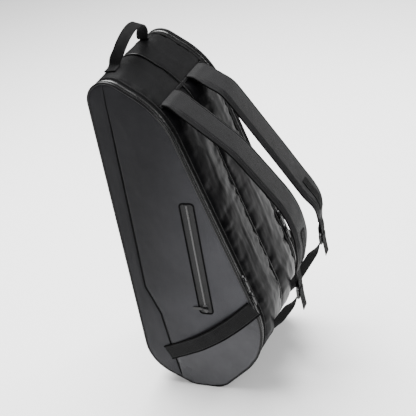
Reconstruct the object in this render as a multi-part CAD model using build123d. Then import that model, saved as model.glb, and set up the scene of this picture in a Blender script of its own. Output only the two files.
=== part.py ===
from build123d import *
import os
from math import cos, radians, sin, sqrt

# Two-compartment racket bag standing on its wide end. Millimetres, +Z up.
# +X is the strap side, -X the hinge side, -Y the near side panel, +Y the far one.
# The origin is the middle of the flat base. The far half mirrors the near half.

# ---- driving dimensions -------------------------------------------------
# Corners of the teardrop side outline: x, z and the radius that rounds it.
CORNERS = [
    (-33, 0, 25),
    (38, 0, 25),
    (172, 124, 160),
    (19, 680, 175),
    (-132, 786, 43),
    (-132, 56, 90),
]
LOWER_RIGHT, SHOULDER, TOP_LEFT, LOWER_LEFT = 2, 3, 4, 5

PIPING_Y = 142.8  # plane of the piping round each side panel
PIPING_R = 2.8
PIPING_INSET = 1.0
CENTRE_PIPING_R = 2.2
FLOOR_CLEARANCE = 0.8  # piping is squashed to this height where the bag rests

GUSSET_T = 3.0
GUSSET_EDGE_Y = 115.0  # where the gusset meets the zip band
CENTRE_GAP = 2.6
SKIN_GAP = 0.2  # between pieces that lie on one another
LINING_T = 2.0
LINING_GAP = 0.3
DIVIDER_T = 3.0

HINGE_X, HINGE_Y = -133.0, 139.5
PANEL_INSET = 4.1
PANEL_Y = (144.9, 147.4)  # face fabric of a side panel
FOAM_Y = (139.7, 144.8)  # foam and lining behind it
PANEL_SEAM_GAP = 0.15  # between the pieces of face fabric

TAPE_INSET, TAPE_T = 1.0, 1.5
CHAIN_INSET, CHAIN_T = 0.4, 2.6
CHAIN_W = 2.0
ZIP_Y = 131.6  # parting line of the main zip
ZIP_GAP = 0.4
WELT_W, WELT_T = 7.0, 1.8  # welt over the shoulder seam
WELT_GAP = 1.0  # between the welt and the centre piping

# Seams on the side panel, as x, z.
STRIP_SEAM = [(-89, 800), (-101, 267), (-76, 199), (-56, -20)]
BAND_ENDS = [(-70.5, 93), (139, 229.5)]
BAND_SAG = 10.0
BAND_W = 35.0
BAND_T = 2.4
BAND_RISE = 9.0
BAND_SEWN = 14.0  # how far each end of the band's arch lies past its seam

POCKET_X = 36.0
POCKET_Z = (212.0, 484.0)
POCKET_W = 30.0
POCKET_FRAME_W = 5.0
POCKET_FRAME_T = 1.7
POCKET_TEETH_W = 4.5
POCKET_TEETH_PROUD = 0.6
POCKET_SLIDER_Z = 226.0
POUCH_W, POUCH_T = 130.0, 2.6
POUCH_SHIFT = (-35.0, -10.0)  # from the middle of the pocket's zip, in x and z
POUCH_TALLER = 20.0  # than the pocket's zip

SEAM_ANGLE = 37.5  # shoulder seam, measured round the shoulder's arc
UPPER_SLIDER_Z, LOWER_SLIDER_Z = 296.0, 259.0
PIN_LIFT = 3.75  # height of a puller's pin over its slider's zip
SLIDER_L, SLIDER_W, SLIDER_T = 18.0, 10.5, 1.8  # top plate of a slider
SLIDER_LIFT = 0.4  # of that plate over the teeth
BRIDGE_TOP = 6.4
BRIDGE_W = 3.0
PULL_RING_L, PULL_RING_W, PULL_WIRE = 9.0, 6.4, 1.3
PULL_TAB_L, PULL_TAB_W, PULL_TAB_T = 20.0, 7.5, 1.8
POCKET_PULLER_TURN = -90.0  # the pocket's bail is turned across its zip

ANCHOR_ANGLE = -32.5  # lower strap anchor, measured round the lower right arc
ANCHOR_REACH = 50.0  # length of the sewn tab that stays with the bag
ANCHOR_OVERLAP = 6.0
CUT_GAP = 0.3  # half the gap between a swinging part and what it leaves

STRAP_Y = 68.0
STRAP_W = 76.0
STRAP_T = 11.0
STRAP_START = (17, 679)
SPLIT_X = 75.0  # where a strap's sewn root ends and its swinging part starts
WEBBING_W = 25.0
WEBBING_T = 1.8
LOOP_T = 1.6  # webbing of the ladder lock's loop
STRAP_TAPER = 75.0  # length over which a strap narrows to its webbing
STRAP_TIP_MARGIN = 3.0  # of the pad on each side of its webbing
LOCK_SIZE = (36.0, 31.0, 4.0)  # width, height, thickness of a ladder lock
LOCK_SLOTS = ((7.9, 6.0), (-5.5, 10.0))  # height in the frame, and width, of each slot
LOOP_BEND, ADJUSTER_BEND = 3.5, 4.0  # half the spread of webbing round a bar

HANDLE_X, HANDLE_Z = -97.0, 757.0  # swing line of the carry handle
HANDLE_HALF_SPAN = 68.0
HANDLE_RISE = 53.0
HANDLE_LEAN = 20.0
HANDLE_W, HANDLE_T = 25.0, 3.0
HANDLE_CLEAR = 1.2  # between the swinging loop's ends and the sewn stubs
PATCH_W, PATCH_L, PATCH_T = 30.0, 32.0, 2.5  # sewn patch under each end

FAR_AWAY = 900.0

# Centrelines of the two shoulder straps: corner points, then their radii.
STRAPS = {
    "near": {
        "side": -1,
        "points": [STRAP_START, (134, 572), (259, 397), (223, 285)],
        "radii": [150, 175],
        "lock": (223, 236),
    },
    "far": {
        "side": 1,
        "points": [STRAP_START, (76, 641), (244, 374), (243, 330)],
        "radii": [70, 60],
        "lock": (243, 286),
    },
}


# ---- geometry helpers ---------------------------------------------------
def unit(x, z):
    """A direction in the XZ plane, scaled to length 1."""
    length = sqrt(x * x + z * z)
    return x / length, z / length


def fillet_centre(index):
    """Centre, in x and z, of the arc that rounds one corner of the outline."""
    x, z, radius = CORNERS[index]
    before = CORNERS[index - 1]
    after = CORNERS[(index + 1) % len(CORNERS)]
    ux, uz = unit(before[0] - x, before[1] - z)
    vx, vz = unit(after[0] - x, after[1] - z)
    bx, bz = unit(ux + vx, uz + vz)
    sine = abs(ux * bz - uz * bx)
    return x + bx * radius / sine, z + bz * radius / sine


def on_arc(index, angle, proud=0.0):
    """A point on a corner's arc at an angle from +X, lifted off the surface."""
    cx, cz = fillet_centre(index)
    reach = CORNERS[index][2] + proud
    return cx + reach * cos(radians(angle)), cz + reach * sin(radians(angle))


def outline(inset=0.0):
    """The bag's side outline as a face in x and z, moved inwards."""
    points = [(x, z) for x, z, _ in CORNERS]
    rounding = [radius for _, _, radius in CORNERS]
    face = make_face(FilletPolyline(*points, radius=rounding, close=True))
    if inset:
        face = offset(face, amount=-inset)
    return face


def slab(face, low_y, high_y):
    """Extrude a face drawn in x and z from one y to another."""
    plane = Plane(origin=(0, high_y, 0), x_dir=(1, 0, 0), z_dir=(0, -1, 0))
    return extrude(plane * face, amount=high_y - low_y)


def ring(outer, inner, low_y, high_y):
    """A band that follows the outline between two insets and two y planes."""
    return slab(outline(outer) - outline(inner), low_y, high_y)


def piping(radius, inset, y):
    """A round cord that follows the whole outline in one y plane."""
    path = outline(inset).face().outer_wire()
    plane = Plane(origin=(0, y, 0), x_dir=(1, 0, 0), z_dir=(0, -1, 0))
    path = plane.from_local_coords(path)
    start = path.position_at(0)
    section = Plane(origin=start, z_dir=path.tangent_at(0)) * Circle(radius)
    return sweep(section, path=path) & above_floor()


def above_floor():
    """A large block over the level to which the piping is squashed."""
    size = 2 * FAR_AWAY
    return Pos(0, 0, FLOOR_CLEARANCE) * Box(
        size, size, size, align=(Align.CENTER, Align.CENTER, Align.MIN)
    )


def strip_trace(points, rounding, thickness):
    """A ribbon seen edge on: a rounded path in x and z with a thickness."""
    return trace(FilletPolyline(*points, radius=rounding), line_width=thickness)


def far_side(part):
    """Mirror a near-side part to the far side."""
    return mirror(part, about=Plane.XZ)


# ---- gusset, divider and lining -----------------------------------------
def sectors():
    """Polygons that cut the ring of the outline at the gusset's seams."""
    hub_low = fillet_centre(LOWER_LEFT)
    hub_right = fillet_centre(LOWER_RIGHT)
    hub_top = fillet_centre(TOP_LEFT)
    seam = on_arc(SHOULDER, SEAM_ANGLE, FAR_AWAY)
    inner = on_arc(SHOULDER, SEAM_ANGLE, -90)
    anchor = on_arc(LOWER_RIGHT, ANCHOR_ANGLE, FAR_AWAY)
    left = -FAR_AWAY
    return {
        "front": [(left, hub_low[1]), hub_low, hub_top, (left, hub_top[1])],
        "narrow_end": [(left, hub_top[1]), hub_top, inner, seam, (left, seam[1])],
        "back": [hub_right, anchor, (FAR_AWAY, seam[1]), seam, inner],
        "base": [
            (left, hub_low[1]),
            (left, -FAR_AWAY),
            (anchor[0], -FAR_AWAY),
            anchor,
            hub_right,
            hub_low,
        ],
    }


def sector_face(name):
    return make_face(Polyline(*sectors()[name], close=True))


def sector(part, name):
    """Keep what lies in one sector of the outline."""
    return part & slab(sector_face(name), -FAR_AWAY, FAR_AWAY)


def not_front(part):
    """Take away the hinge side, which has no zip."""
    return part - slab(sector_face("front"), -FAR_AWAY, FAR_AWAY)


def gusset(name):
    """One fabric wall of the near compartment."""
    edge_y = HINGE_Y - SKIN_GAP if name == "front" else GUSSET_EDGE_Y
    return sector(ring(0, GUSSET_T, -edge_y, -CENTRE_GAP), name)


def base_gusset():
    """The wall under both compartments, in one piece, that the bag rests on."""
    return sector(ring(0, GUSSET_T, -GUSSET_EDGE_Y, GUSSET_EDGE_Y), "base")


def centre_piping():
    """Piping over the seam between the compartments, down to the base wall."""
    cord = piping(CENTRE_PIPING_R, 0, 0)
    return cord - slab(sector_face("base"), -FAR_AWAY, FAR_AWAY)


def lining():
    """Thin padded lining inside the near compartment's walls."""
    outer = GUSSET_T + LINING_GAP
    return ring(outer, outer + LINING_T, -GUSSET_EDGE_Y + 0.5, -CENTRE_GAP)


def divider():
    """Padded wall between the two compartments."""
    inset = GUSSET_T + LINING_T + 2 * LINING_GAP
    return slab(outline(inset), -DIVIDER_T / 2, DIVIDER_T / 2)


def shoulder_binding():
    """Welt over the seam that the shoulder straps are sewn into."""
    x, z = on_arc(SHOULDER, SEAM_ANGLE)
    nx, nz = cos(radians(SEAM_ANGLE)), sin(radians(SEAM_ANGLE))
    inner_y = CENTRE_PIPING_R + WELT_GAP
    length = GUSSET_EDGE_Y - inner_y
    middle_y = -(GUSSET_EDGE_Y + inner_y) / 2
    place = Plane(origin=(x, middle_y, z), x_dir=(0, 1, 0), z_dir=(nx, 0, nz))
    welt = Box(length, WELT_W, WELT_T, align=(Align.CENTER, Align.CENTER, Align.MIN))
    half = place * Pos(0, 0, SKIN_GAP) * welt
    return Compound(children=[half, far_side(half)])


# ---- main zip -----------------------------------------------------------
def zip_half(tape_low, tape_high, chain_low, chain_high):
    """One tape of the main zip with its row of teeth, round three sides."""
    tape = ring(TAPE_INSET, TAPE_INSET + TAPE_T, tape_low, tape_high)
    chain = ring(CHAIN_INSET, CHAIN_INSET + CHAIN_T, chain_low, chain_high)
    return not_front(tape + chain)


def gusset_zip():
    low = -ZIP_Y + ZIP_GAP / 2
    return zip_half(low + CHAIN_W, -GUSSET_EDGE_Y, low, low + CHAIN_W)


def panel_zip():
    high = -ZIP_Y - ZIP_GAP / 2
    return zip_half(-HINGE_Y - 2 * SKIN_GAP, high - CHAIN_W, high - CHAIN_W, high)


# ---- side panel ---------------------------------------------------------
def band_curve(shift=0.0):
    """The grab band's centreline, or a line beside it."""
    (x0, z0), (x1, z1) = BAND_ENDS
    ux, uz = unit(x1 - x0, z1 - z0)
    nx, nz = -uz, ux
    middle = (
        (x0 + x1) / 2 + nx * (shift - BAND_SAG),
        (z0 + z1) / 2 + nz * (shift - BAND_SAG),
    )
    start = (x0 + nx * shift, z0 + nz * shift)
    end = (x1 + nx * shift, z1 + nz * shift)
    return start, middle, end


def below_band():
    """Everything under the grab band's centreline."""
    start, middle, end = band_curve()
    return make_face(
        [
            ThreePointArc(start, middle, end),
            Polyline(end, (FAR_AWAY, end[1]), (FAR_AWAY, -300), (-300, -300), start),
        ]
    )


def left_of_seam():
    return make_face(Polyline(*STRIP_SEAM, (-500, -20), (-500, 800), close=True))


def pocket_slot():
    low, high = POCKET_Z
    height = high - low - 2 * POCKET_FRAME_W
    slot = RectangleRounded(POCKET_W - 2 * POCKET_FRAME_W, height, 4)
    return Pos(POCKET_X, (low + high) / 2) * slot


def face_pieces():
    """Face fabric of the near panel: long side strip, main field and toe."""
    whole = outline(PANEL_INSET)
    strip = whole & left_of_seam()
    rest = whole - Pos(PANEL_SEAM_GAP, 0) * left_of_seam()
    toe = rest & below_band()
    main = rest - Pos(0, PANEL_SEAM_GAP) * below_band() - pocket_slot()
    low, high = PANEL_Y
    return {
        "side_strip": slab(strip, -high, -low),
        "main_field": slab(main, -high, -low),
        "toe_panel": slab(toe, -high, -low),
    }


def panel_foam():
    low, high = FOAM_Y
    return slab(outline(PANEL_INSET) - pocket_slot(), -high, -low)


def pocket_frame():
    """Welted frame sewn round the accessory pocket's zip."""
    low, high = POCKET_Z
    outer = Pos(POCKET_X, (low + high) / 2) * RectangleRounded(POCKET_W, high - low, 8)
    back = -PANEL_Y[1] - SKIN_GAP / 2
    return slab(outer - pocket_slot(), back - POCKET_FRAME_T, back)


def pocket_zip():
    """Closed zip of the accessory pocket: a tape with its teeth down the middle."""
    slot = offset(pocket_slot(), amount=-2 * SKIN_GAP)
    low, high = POCKET_Z
    length = high - low - 2 * POCKET_FRAME_W - POCKET_TEETH_W
    teeth = Pos(POCKET_X, (low + high) / 2) * Rectangle(POCKET_TEETH_W, length)
    tape = slab(slot, -PANEL_Y[1] + 2 * SKIN_GAP, -PANEL_Y[0])
    return tape + slab(teeth, -PANEL_Y[1] - POCKET_TEETH_PROUD, -PANEL_Y[0])


def pocket_pouch():
    """The accessory pocket's empty pouch, flat behind the side panel."""
    low, high = POCKET_Z
    x, z = POCKET_X + POUCH_SHIFT[0], (low + high) / 2 + POUCH_SHIFT[1]
    shape = Pos(x, z) * RectangleRounded(POUCH_W, high - low + POUCH_TALLER, 20)
    back = -FOAM_Y[0] + SKIN_GAP
    return slab(shape, back, back + POUCH_T)


def grab_band():
    """Webbing band across the panel, raised in its middle to let fingers in."""
    half = BAND_W / 2
    low = band_curve(-half)
    high = band_curve(half)
    front = make_face(
        [
            ThreePointArc(*low),
            Line(low[2], high[2]),
            ThreePointArc(*high[::-1]),
            Line(high[0], low[0]),
        ]
    )
    start, end = BAND_ENDS[0][0] - BAND_SEWN, BAND_ENDS[1][0] + BAND_SEWN
    middle = (start + end) / 2
    base_y = PANEL_Y[1] + SKIN_GAP + BAND_T / 2
    arch = ThreePointArc(
        (start, -base_y), (middle, -base_y - BAND_RISE), (end, -base_y)
    )
    sheet = extrude(trace(arch, line_width=BAND_T), amount=FAR_AWAY)
    in_front = slab(front & outline(), -FAR_AWAY, -PANEL_Y[1] - SKIN_GAP / 2)
    return in_front & sheet


# ---- sliders and pullers ------------------------------------------------
def main_zip_plane(height):
    """Where a slider sits on the straight long edge: local x runs up the edge."""
    x0, z0, _ = CORNERS[LOWER_RIGHT]
    x1, z1, _ = CORNERS[SHOULDER]
    tx, tz = unit(x1 - x0, z1 - z0)
    x = x0 + tx * (height - z0) / tz
    return Plane(origin=(x, -ZIP_Y, height), x_dir=(tx, 0, tz), z_dir=(tz, 0, -tx))


def slider_body(turn=0.0):
    """A slider's top plate with the arched bridge that its puller hangs from."""
    plate = extrude(RectangleRounded(SLIDER_L, SLIDER_W, SLIDER_W / 3), amount=SLIDER_T)
    foot, crest, low = 5.6, 4.0, SLIDER_LIFT + SLIDER_T - SKIN_GAP
    bridge_side = make_face(
        Polyline((-foot, low), (-crest, BRIDGE_TOP), (crest, BRIDGE_TOP), (foot, low), close=True)
    )
    opening = Pos(0, PIN_LIFT) * RectangleRounded(4 * PULL_WIRE, 2 * PULL_WIRE, PULL_WIRE - 0.1)
    bridge = extrude(Plane.XZ * (bridge_side - opening), amount=BRIDGE_W / 2, both=True)
    return Pos(0, 0, SLIDER_LIFT) * plate + Rot(0, 0, turn) * bridge


def puller_body():
    """A wire ring through the bridge and a tapered pull tab, hanging along -x."""
    wire = PULL_WIRE
    outer = RectangleRounded(PULL_RING_L, PULL_RING_W, PULL_RING_W / 4)
    inner = RectangleRounded(PULL_RING_L - 2 * wire, PULL_RING_W - 2 * wire, wire / 2)
    loop = Pos(-PULL_RING_L / 2 + wire / 2, 0) * (outer - inner)
    tab_middle = -PULL_RING_L - PULL_TAB_L / 2 + wire
    tab = Pos(tab_middle, 0) * RectangleRounded(PULL_TAB_L, PULL_TAB_W, 0.4 * PULL_TAB_W)
    tab = extrude(tab, amount=PULL_TAB_T / 2, both=True)
    return extrude(loop, amount=wire / 2, both=True) + tab


def main_slider(height):
    return main_zip_plane(height) * slider_body()


def main_puller(height):
    """A puller hanging down from a main slider."""
    return main_zip_plane(height) * Pos(0, 0, PIN_LIFT) * puller_body()


def pocket_plane(lift=0.0):
    """Where the pocket slider sits: local x runs up, z out of the panel."""
    y = -PANEL_Y[1] - POCKET_TEETH_PROUD - lift
    return Plane(origin=(POCKET_X, y, POCKET_SLIDER_Z), x_dir=(0, 0, 1), z_dir=(0, -1, 0))


def pocket_slider():
    return pocket_plane() * slider_body(POCKET_PULLER_TURN)


def pocket_puller():
    """The pocket's puller, turned on its bail so that it points at the hinge side."""
    hang = pocket_plane(PIN_LIFT) * Rot(0, 0, POCKET_PULLER_TURN)
    return hang * puller_body()


# ---- shoulder straps ----------------------------------------------------
def anchor_tip(lock):
    """Start and tip of the webbing tab that runs from the bag to a ladder lock."""
    start = on_arc(LOWER_RIGHT, ANCHOR_ANGLE, WEBBING_T)
    below = (lock[0] - ADJUSTER_BEND, lock[1] - LOCK_SIZE[1] / 2 + 0.5)
    ux, uz = unit(below[0] - start[0], below[1] - start[1])
    return start, (start[0] + ux * ANCHOR_REACH, start[1] + uz * ANCHOR_REACH)


def strap_split(spec):
    """Points on a strap's swing line: where it leaves its root and its anchor."""
    (x0, z0), (x1, z1) = spec["points"][:2]
    if x1 < SPLIT_X:
        raise ValueError("the strap's first run ends before its split")
    top = (SPLIT_X, z0 + (z1 - z0) * (SPLIT_X - x0) / (x1 - x0))
    return top, anchor_tip(spec["lock"])[1]


def beyond(spec, end, gap):
    """A block past one end of the swing line, square to that line."""
    top, tip = strap_split(spec)
    origin = top if end == "top" else tip
    sign = 1 if end == "top" else -1
    ux, uz = unit(top[0] - tip[0], top[1] - tip[1])
    ux, uz = ux * sign, uz * sign
    place = Plane(
        origin=(origin[0] + ux * gap, 0, origin[1] + uz * gap),
        x_dir=(0, 1, 0),
        z_dir=(ux, 0, uz),
    )
    size = FAR_AWAY
    return place * Box(size, size, size, align=(Align.CENTER, Align.CENTER, Align.MIN))


def strap_front(z_low, side):
    """A strap seen from the front: full width, drawn in at its lower end."""
    half = STRAP_W / 2
    tip = WEBBING_W / 2 + STRAP_TIP_MARGIN
    shoulder_z = z_low + STRAP_TAPER
    left = [(-half, FAR_AWAY), (-half, shoulder_z), (-tip, z_low)]
    right = [(-y, z) for y, z in reversed(left)]
    edge = make_face(Polyline(*left, *right, close=True))
    plane = Plane(origin=(0, side * STRAP_Y, 0), x_dir=(0, 1, 0), z_dir=(1, 0, 0))
    return extrude(plane * edge, amount=FAR_AWAY, both=True)


def whole_strap(spec):
    profile = strip_trace(spec["points"], spec["radii"], STRAP_T)
    half = STRAP_W / 2
    middle = spec["side"] * STRAP_Y
    padded = slab(profile, middle - half, middle + half)
    return padded & strap_front(spec["points"][-1][1] - 2, spec["side"])


def webbing(spec, points, rounding, thickness=WEBBING_T):
    middle = spec["side"] * STRAP_Y
    half = WEBBING_W / 2
    profile = strip_trace(points, rounding, thickness)
    return slab(profile, middle - half, middle + half)


def lock_loop(spec):
    """Short doubled webbing from the pad's end round the ladder lock's top bar."""
    x, z = spec["lock"]
    end_x, end_z = spec["points"][-1]
    back, front, bar_z = x - LOOP_BEND, x + LOOP_BEND, z + 9.6
    path = [(end_x, end_z - 3.2), (back, z + 26), (back, bar_z)]
    path += [(front, bar_z), (front, z + 28)]
    return webbing(spec, path, [20, 1.5, 1.5], LOOP_T)


def adjuster_webbing(spec):
    """Webbing from the anchor up behind the ladder lock, through it and down."""
    x, z = spec["lock"]
    _, tip = anchor_tip(spec["lock"])
    back, front, bar_z = x - ADJUSTER_BEND, x + ADJUSTER_BEND, z + 6.6
    path = [tip, (back, z - LOCK_SIZE[1] / 2 + 0.5), (back, bar_z), (front, bar_z)]
    path += [(front, z - 14), (front + 3, z - 46)]
    return webbing(spec, path, [12, 2, 2, 8])


def ladder_lock(spec):
    """Moulded frame with three cross bars."""
    x, z = spec["lock"]
    width, height, thickness = LOCK_SIZE
    frame = RectangleRounded(width, height, 4)
    for height_in_frame, slot_h in LOCK_SLOTS:
        slot = RectangleRounded(WEBBING_W + 3, slot_h, 1)
        frame -= Pos(0, height_in_frame) * slot
    middle = spec["side"] * STRAP_Y
    plane = Plane(
        origin=(x - thickness / 2, middle, z), x_dir=(0, 1, 0), z_dir=(1, 0, 0)
    )
    return plane * extrude(frame, amount=thickness)


def anchor_tab(spec):
    start, tip = anchor_tip(spec["lock"])
    ux, uz = unit(tip[0] - start[0], tip[1] - start[1])
    line = Line(start, (tip[0] + ux * ANCHOR_OVERLAP, tip[1] + uz * ANCHOR_OVERLAP))
    middle = spec["side"] * STRAP_Y
    half = WEBBING_W / 2
    tab = slab(trace(line, line_width=WEBBING_T), middle - half, middle + half)
    return tab & beyond(spec, "tip", CUT_GAP)


# ---- carry handle -------------------------------------------------------
def handle_arch():
    """Centreline of the handle in y and z, from stub to stub."""
    span, top = HANDLE_HALF_SPAN, HANDLE_Z + HANDLE_RISE
    return ThreePointArc((-span, HANDLE_Z), (0, top), (span, HANDLE_Z))


def yz_slab(face, low_x, high_x):
    """Extrude a face drawn in y and z from one x to another."""
    plane = Plane(origin=(low_x, 0, 0), x_dir=(0, 1, 0), z_dir=(1, 0, 0))
    return extrude(plane * face, amount=high_x - low_x)


def handle_loop():
    """The swinging arch of webbing, leaned towards the strap side."""
    half = HANDLE_W / 2
    arch = yz_slab(trace(handle_arch(), line_width=HANDLE_T), -half, half)
    swing_line = Location((0, 0, HANDLE_Z), (90, 0, 0))
    arch -= swing_line * Cylinder(half + HANDLE_CLEAR, FAR_AWAY)
    lean = Pos(HANDLE_X, 0, HANDLE_Z) * Rot(0, HANDLE_LEAN, 0) * Pos(0, 0, -HANDLE_Z)
    return lean * arch


def handle_tabs():
    """Sewn ends of the handle: a patch on the bag and a short upright stub."""
    inner_y = HANDLE_HALF_SPAN - HANDLE_T
    sewn = ring(-SKIN_GAP - PATCH_T, -SKIN_GAP, -inner_y - PATCH_L, -inner_y)
    above = Box(PATCH_W, FAR_AWAY, 100, align=(Align.CENTER, Align.CENTER, Align.MAX))
    patch = sewn & Pos(HANDLE_X, 0, HANDLE_Z) * above
    stub = Pos(HANDLE_X, -HANDLE_HALF_SPAN, HANDLE_Z - 1) * Box(
        HANDLE_W, HANDLE_T, 30, align=(Align.CENTER, Align.CENTER, Align.MAX)
    )
    stub -= slab(outline(-PATCH_T / 2), -FAR_AWAY, FAR_AWAY)
    near = patch + stub
    return Compound(children=[near, far_side(near)])


# ---- build and write ----------------------------------------------------
def side_nodes():
    """Every near-side node that the far side mirrors."""
    nodes = {
        "front_gusset": gusset("front"),
        "narrow_end_gusset": gusset("narrow_end"),
        "back_gusset": gusset("back"),
        "gusset_lining": lining(),
        "gusset_zip_half": gusset_zip(),
        "panel_zip_half": panel_zip(),
        "panel_foam": panel_foam(),
        "panel_piping": piping(PIPING_R, PIPING_INSET, -PIPING_Y),
        "grab_band": grab_band(),
        "pocket_frame": pocket_frame(),
        "pocket_zip": pocket_zip(),
        "pocket_pouch": pocket_pouch(),
        "upper_slider": main_slider(UPPER_SLIDER_Z),
        "upper_puller": main_puller(UPPER_SLIDER_Z),
        "lower_slider": main_slider(LOWER_SLIDER_Z),
        "lower_puller": main_puller(LOWER_SLIDER_Z),
        "pocket_slider": pocket_slider(),
        "pocket_puller": pocket_puller(),
    }
    nodes.update(face_pieces())
    return nodes


def strap_nodes(name, spec):
    """The sub-parts of one shoulder strap."""
    strap = whole_strap(spec)
    return {
        f"{name}_strap_root": strap & beyond(spec, "top", CUT_GAP),
        f"{name}_strap_pad": strap - beyond(spec, "top", -CUT_GAP),
        f"{name}_lock_loop": lock_loop(spec),
        f"{name}_ladder_lock": ladder_lock(spec),
        f"{name}_adjuster_webbing": adjuster_webbing(spec) - beyond(spec, "tip", -CUT_GAP),
        f"{name}_anchor_tab": anchor_tab(spec),
    }


def main():
    nodes = {
        "base_gusset": base_gusset(),
        "centre_piping": centre_piping(),
        "divider": divider(),
        "shoulder_binding": shoulder_binding(),
        "handle_loop": handle_loop(),
        "handle_tabs": handle_tabs(),
    }
    for name, part in side_nodes().items():
        nodes[f"near_{name}"] = part
        nodes[f"far_{name}"] = far_side(part)
    for name, spec in STRAPS.items():
        nodes.update(strap_nodes(name, spec))
    os.makedirs("parts", exist_ok=True)
    for name, part in nodes.items():
        export_step(part, f"parts/{name}.step")
    print(len(nodes), "nodes")


main()
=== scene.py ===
import math
import bpy
import bmesh
import numpy as np
from mathutils import Matrix, Vector


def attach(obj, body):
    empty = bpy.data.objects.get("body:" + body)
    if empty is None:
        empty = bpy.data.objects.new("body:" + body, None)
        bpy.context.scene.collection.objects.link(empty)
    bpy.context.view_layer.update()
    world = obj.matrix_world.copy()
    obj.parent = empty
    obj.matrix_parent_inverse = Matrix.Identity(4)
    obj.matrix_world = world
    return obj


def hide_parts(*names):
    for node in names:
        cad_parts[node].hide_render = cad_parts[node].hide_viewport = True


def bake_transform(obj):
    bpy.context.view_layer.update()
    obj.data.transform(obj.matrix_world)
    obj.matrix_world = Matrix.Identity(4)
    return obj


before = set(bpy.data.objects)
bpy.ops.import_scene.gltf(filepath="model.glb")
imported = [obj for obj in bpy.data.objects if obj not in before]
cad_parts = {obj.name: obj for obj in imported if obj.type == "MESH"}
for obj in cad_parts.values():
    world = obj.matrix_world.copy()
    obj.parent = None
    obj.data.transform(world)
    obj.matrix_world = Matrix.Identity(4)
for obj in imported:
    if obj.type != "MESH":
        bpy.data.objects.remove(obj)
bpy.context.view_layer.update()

# Metres, in the CAD frame: +Z up, +X the strap side, -Y the near side panel.
# ---- driving dimensions --------------------------------------------------
# Corners of the teardrop side outline: x, z and rounding radius. The cloth rounds
# the two at the base more softly than the CAD's wall does.
CORNERS = [
    (-0.033, 0.0, 0.055),
    (0.038, 0.0, 0.055),
    (0.172, 0.124, 0.160),
    (0.019, 0.680, 0.175),
    (-0.132, 0.786, 0.043),
    (-0.132, 0.056, 0.090),
]
LOWER_RIGHT, SHOULDER, TOP_LEFT, LOWER_LEFT = 2, 3, 4, 5
SEAM_ANGLE = math.radians(37.5)
ANCHOR_ANGLE = math.radians(-32.5)
FRONT_ANGLE = math.pi

# Distances from the bag's middle plane, for the far side; the near side is mirrored.
CENTRE_GAP = 0.0012
LINING_EDGE_Y = 0.1140
GUSSET_EDGE_Y = 0.1150
GUSSET_COIL_Y, PANEL_COIL_Y = 0.1304, 0.1328
HINGE_EDGE_Y = 0.1388
LINING_BACK_Y, FACE_Y = 0.1416, 0.1425
PIPING_Y = 0.1428

FACE_INSET, PANEL_LINING_INSET, DIVIDER_INSET = 0.0026, 0.0041, 0.0046
CLOTH_T, WALL_T = 0.0014, 0.0028
PIPING_R, CENTRE_PIPING_R = 0.0028, 0.0022
STRIP_SEAM = [(-0.089, 0.800), (-0.101, 0.267), (-0.076, 0.199), (-0.056, -0.020)]
BAND_ENDS = ((-0.0705, 0.0930), (0.1390, 0.2295))
BAND_SAG = 0.010
BAND_W = 0.035
BAND_BASE_Y, BAND_RISE = 0.1488, 0.0095

POCKET_X, POCKET_LOW, POCKET_HIGH = 0.036, 0.212, 0.484
POCKET_W = 0.030
POUCH_W, POUCH_EXTRA, POUCH_Y = 0.130, 0.020, 0.1389
POUCH_SHIFT = (-0.035, -0.010)

STRAP_Y, STRAP_W, STRAP_T = 0.068, 0.076, 0.011
WEBBING_W, WEBBING_T = 0.025, 0.0018
LOWER_TWIST = math.radians(55)
STRAPS = {
    "near": {
        "side": -1,
        "points": [(0.004, 0.6815), (0.017, 0.679), (0.134, 0.572), (0.259, 0.397), (0.223, 0.285)],
        "radii": [0.020, 0.150, 0.175],
        "lock": (0.223, 0.236),
    },
    "far": {
        "side": 1,
        "points": [(0.004, 0.6815), (0.017, 0.681), (0.076, 0.641), (0.244, 0.374), (0.243, 0.330)],
        "radii": [0.020, 0.070, 0.060],
        "lock": (0.243, 0.286),
    },
}
HANDLE_X, HANDLE_Z = -0.097, 0.757
HANDLE_HALF_SPAN, HANDLE_RISE = 0.068, 0.053
HANDLE_LEAN = math.radians(20)
HANDLE_W, HANDLE_T = 0.025, 0.0028
HANDLE_FOOT_Z = 0.7492

SIDES = (("near", -1), ("far", 1))

# ---- cross-sections: width and thickness ---------------------------------
SEAM_BINDING, BAND_BINDING, STRAP_BINDING = (0.0040, 0.0018), (0.0040, 0.0034), (0.0046, 0.0036)
POCKET_PIPING, SHOULDER_WELT = (0.0036, 0.0026), (0.0072, 0.0030)
MAIN_COIL, POCKET_COIL = (0.0019, 0.0013), (0.0042, 0.0014)
BAND_T, LOOP_T, BAND_RIBS = 0.0022, 0.0016, 11
PATCH_W, PATCH_T, PATCH_RIBS = 0.0215, 0.0011, 6
# The zip tapes, as distances from the middle plane and heights off the outline.
PANEL_TAPE = [
    (0.1404, 0.0004), (0.1372, 0.0006), (0.1364, -0.0002), (0.1332, -0.0010),
    (0.1332, -0.0022), (0.1404, -0.0022),
]
GUSSET_TAPE = [
    (0.1150, -0.0024), (0.1300, -0.0024), (0.1300, -0.0010), (0.1232, -0.0009),
    (0.1222, 0.0002), (0.1212, 0.0009), (0.1170, 0.0008), (0.1150, 0.0001),
]


# ---- the outline ---------------------------------------------------------
def unit(x, z):
    length = math.hypot(x, z)
    return x / length, z / length


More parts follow.
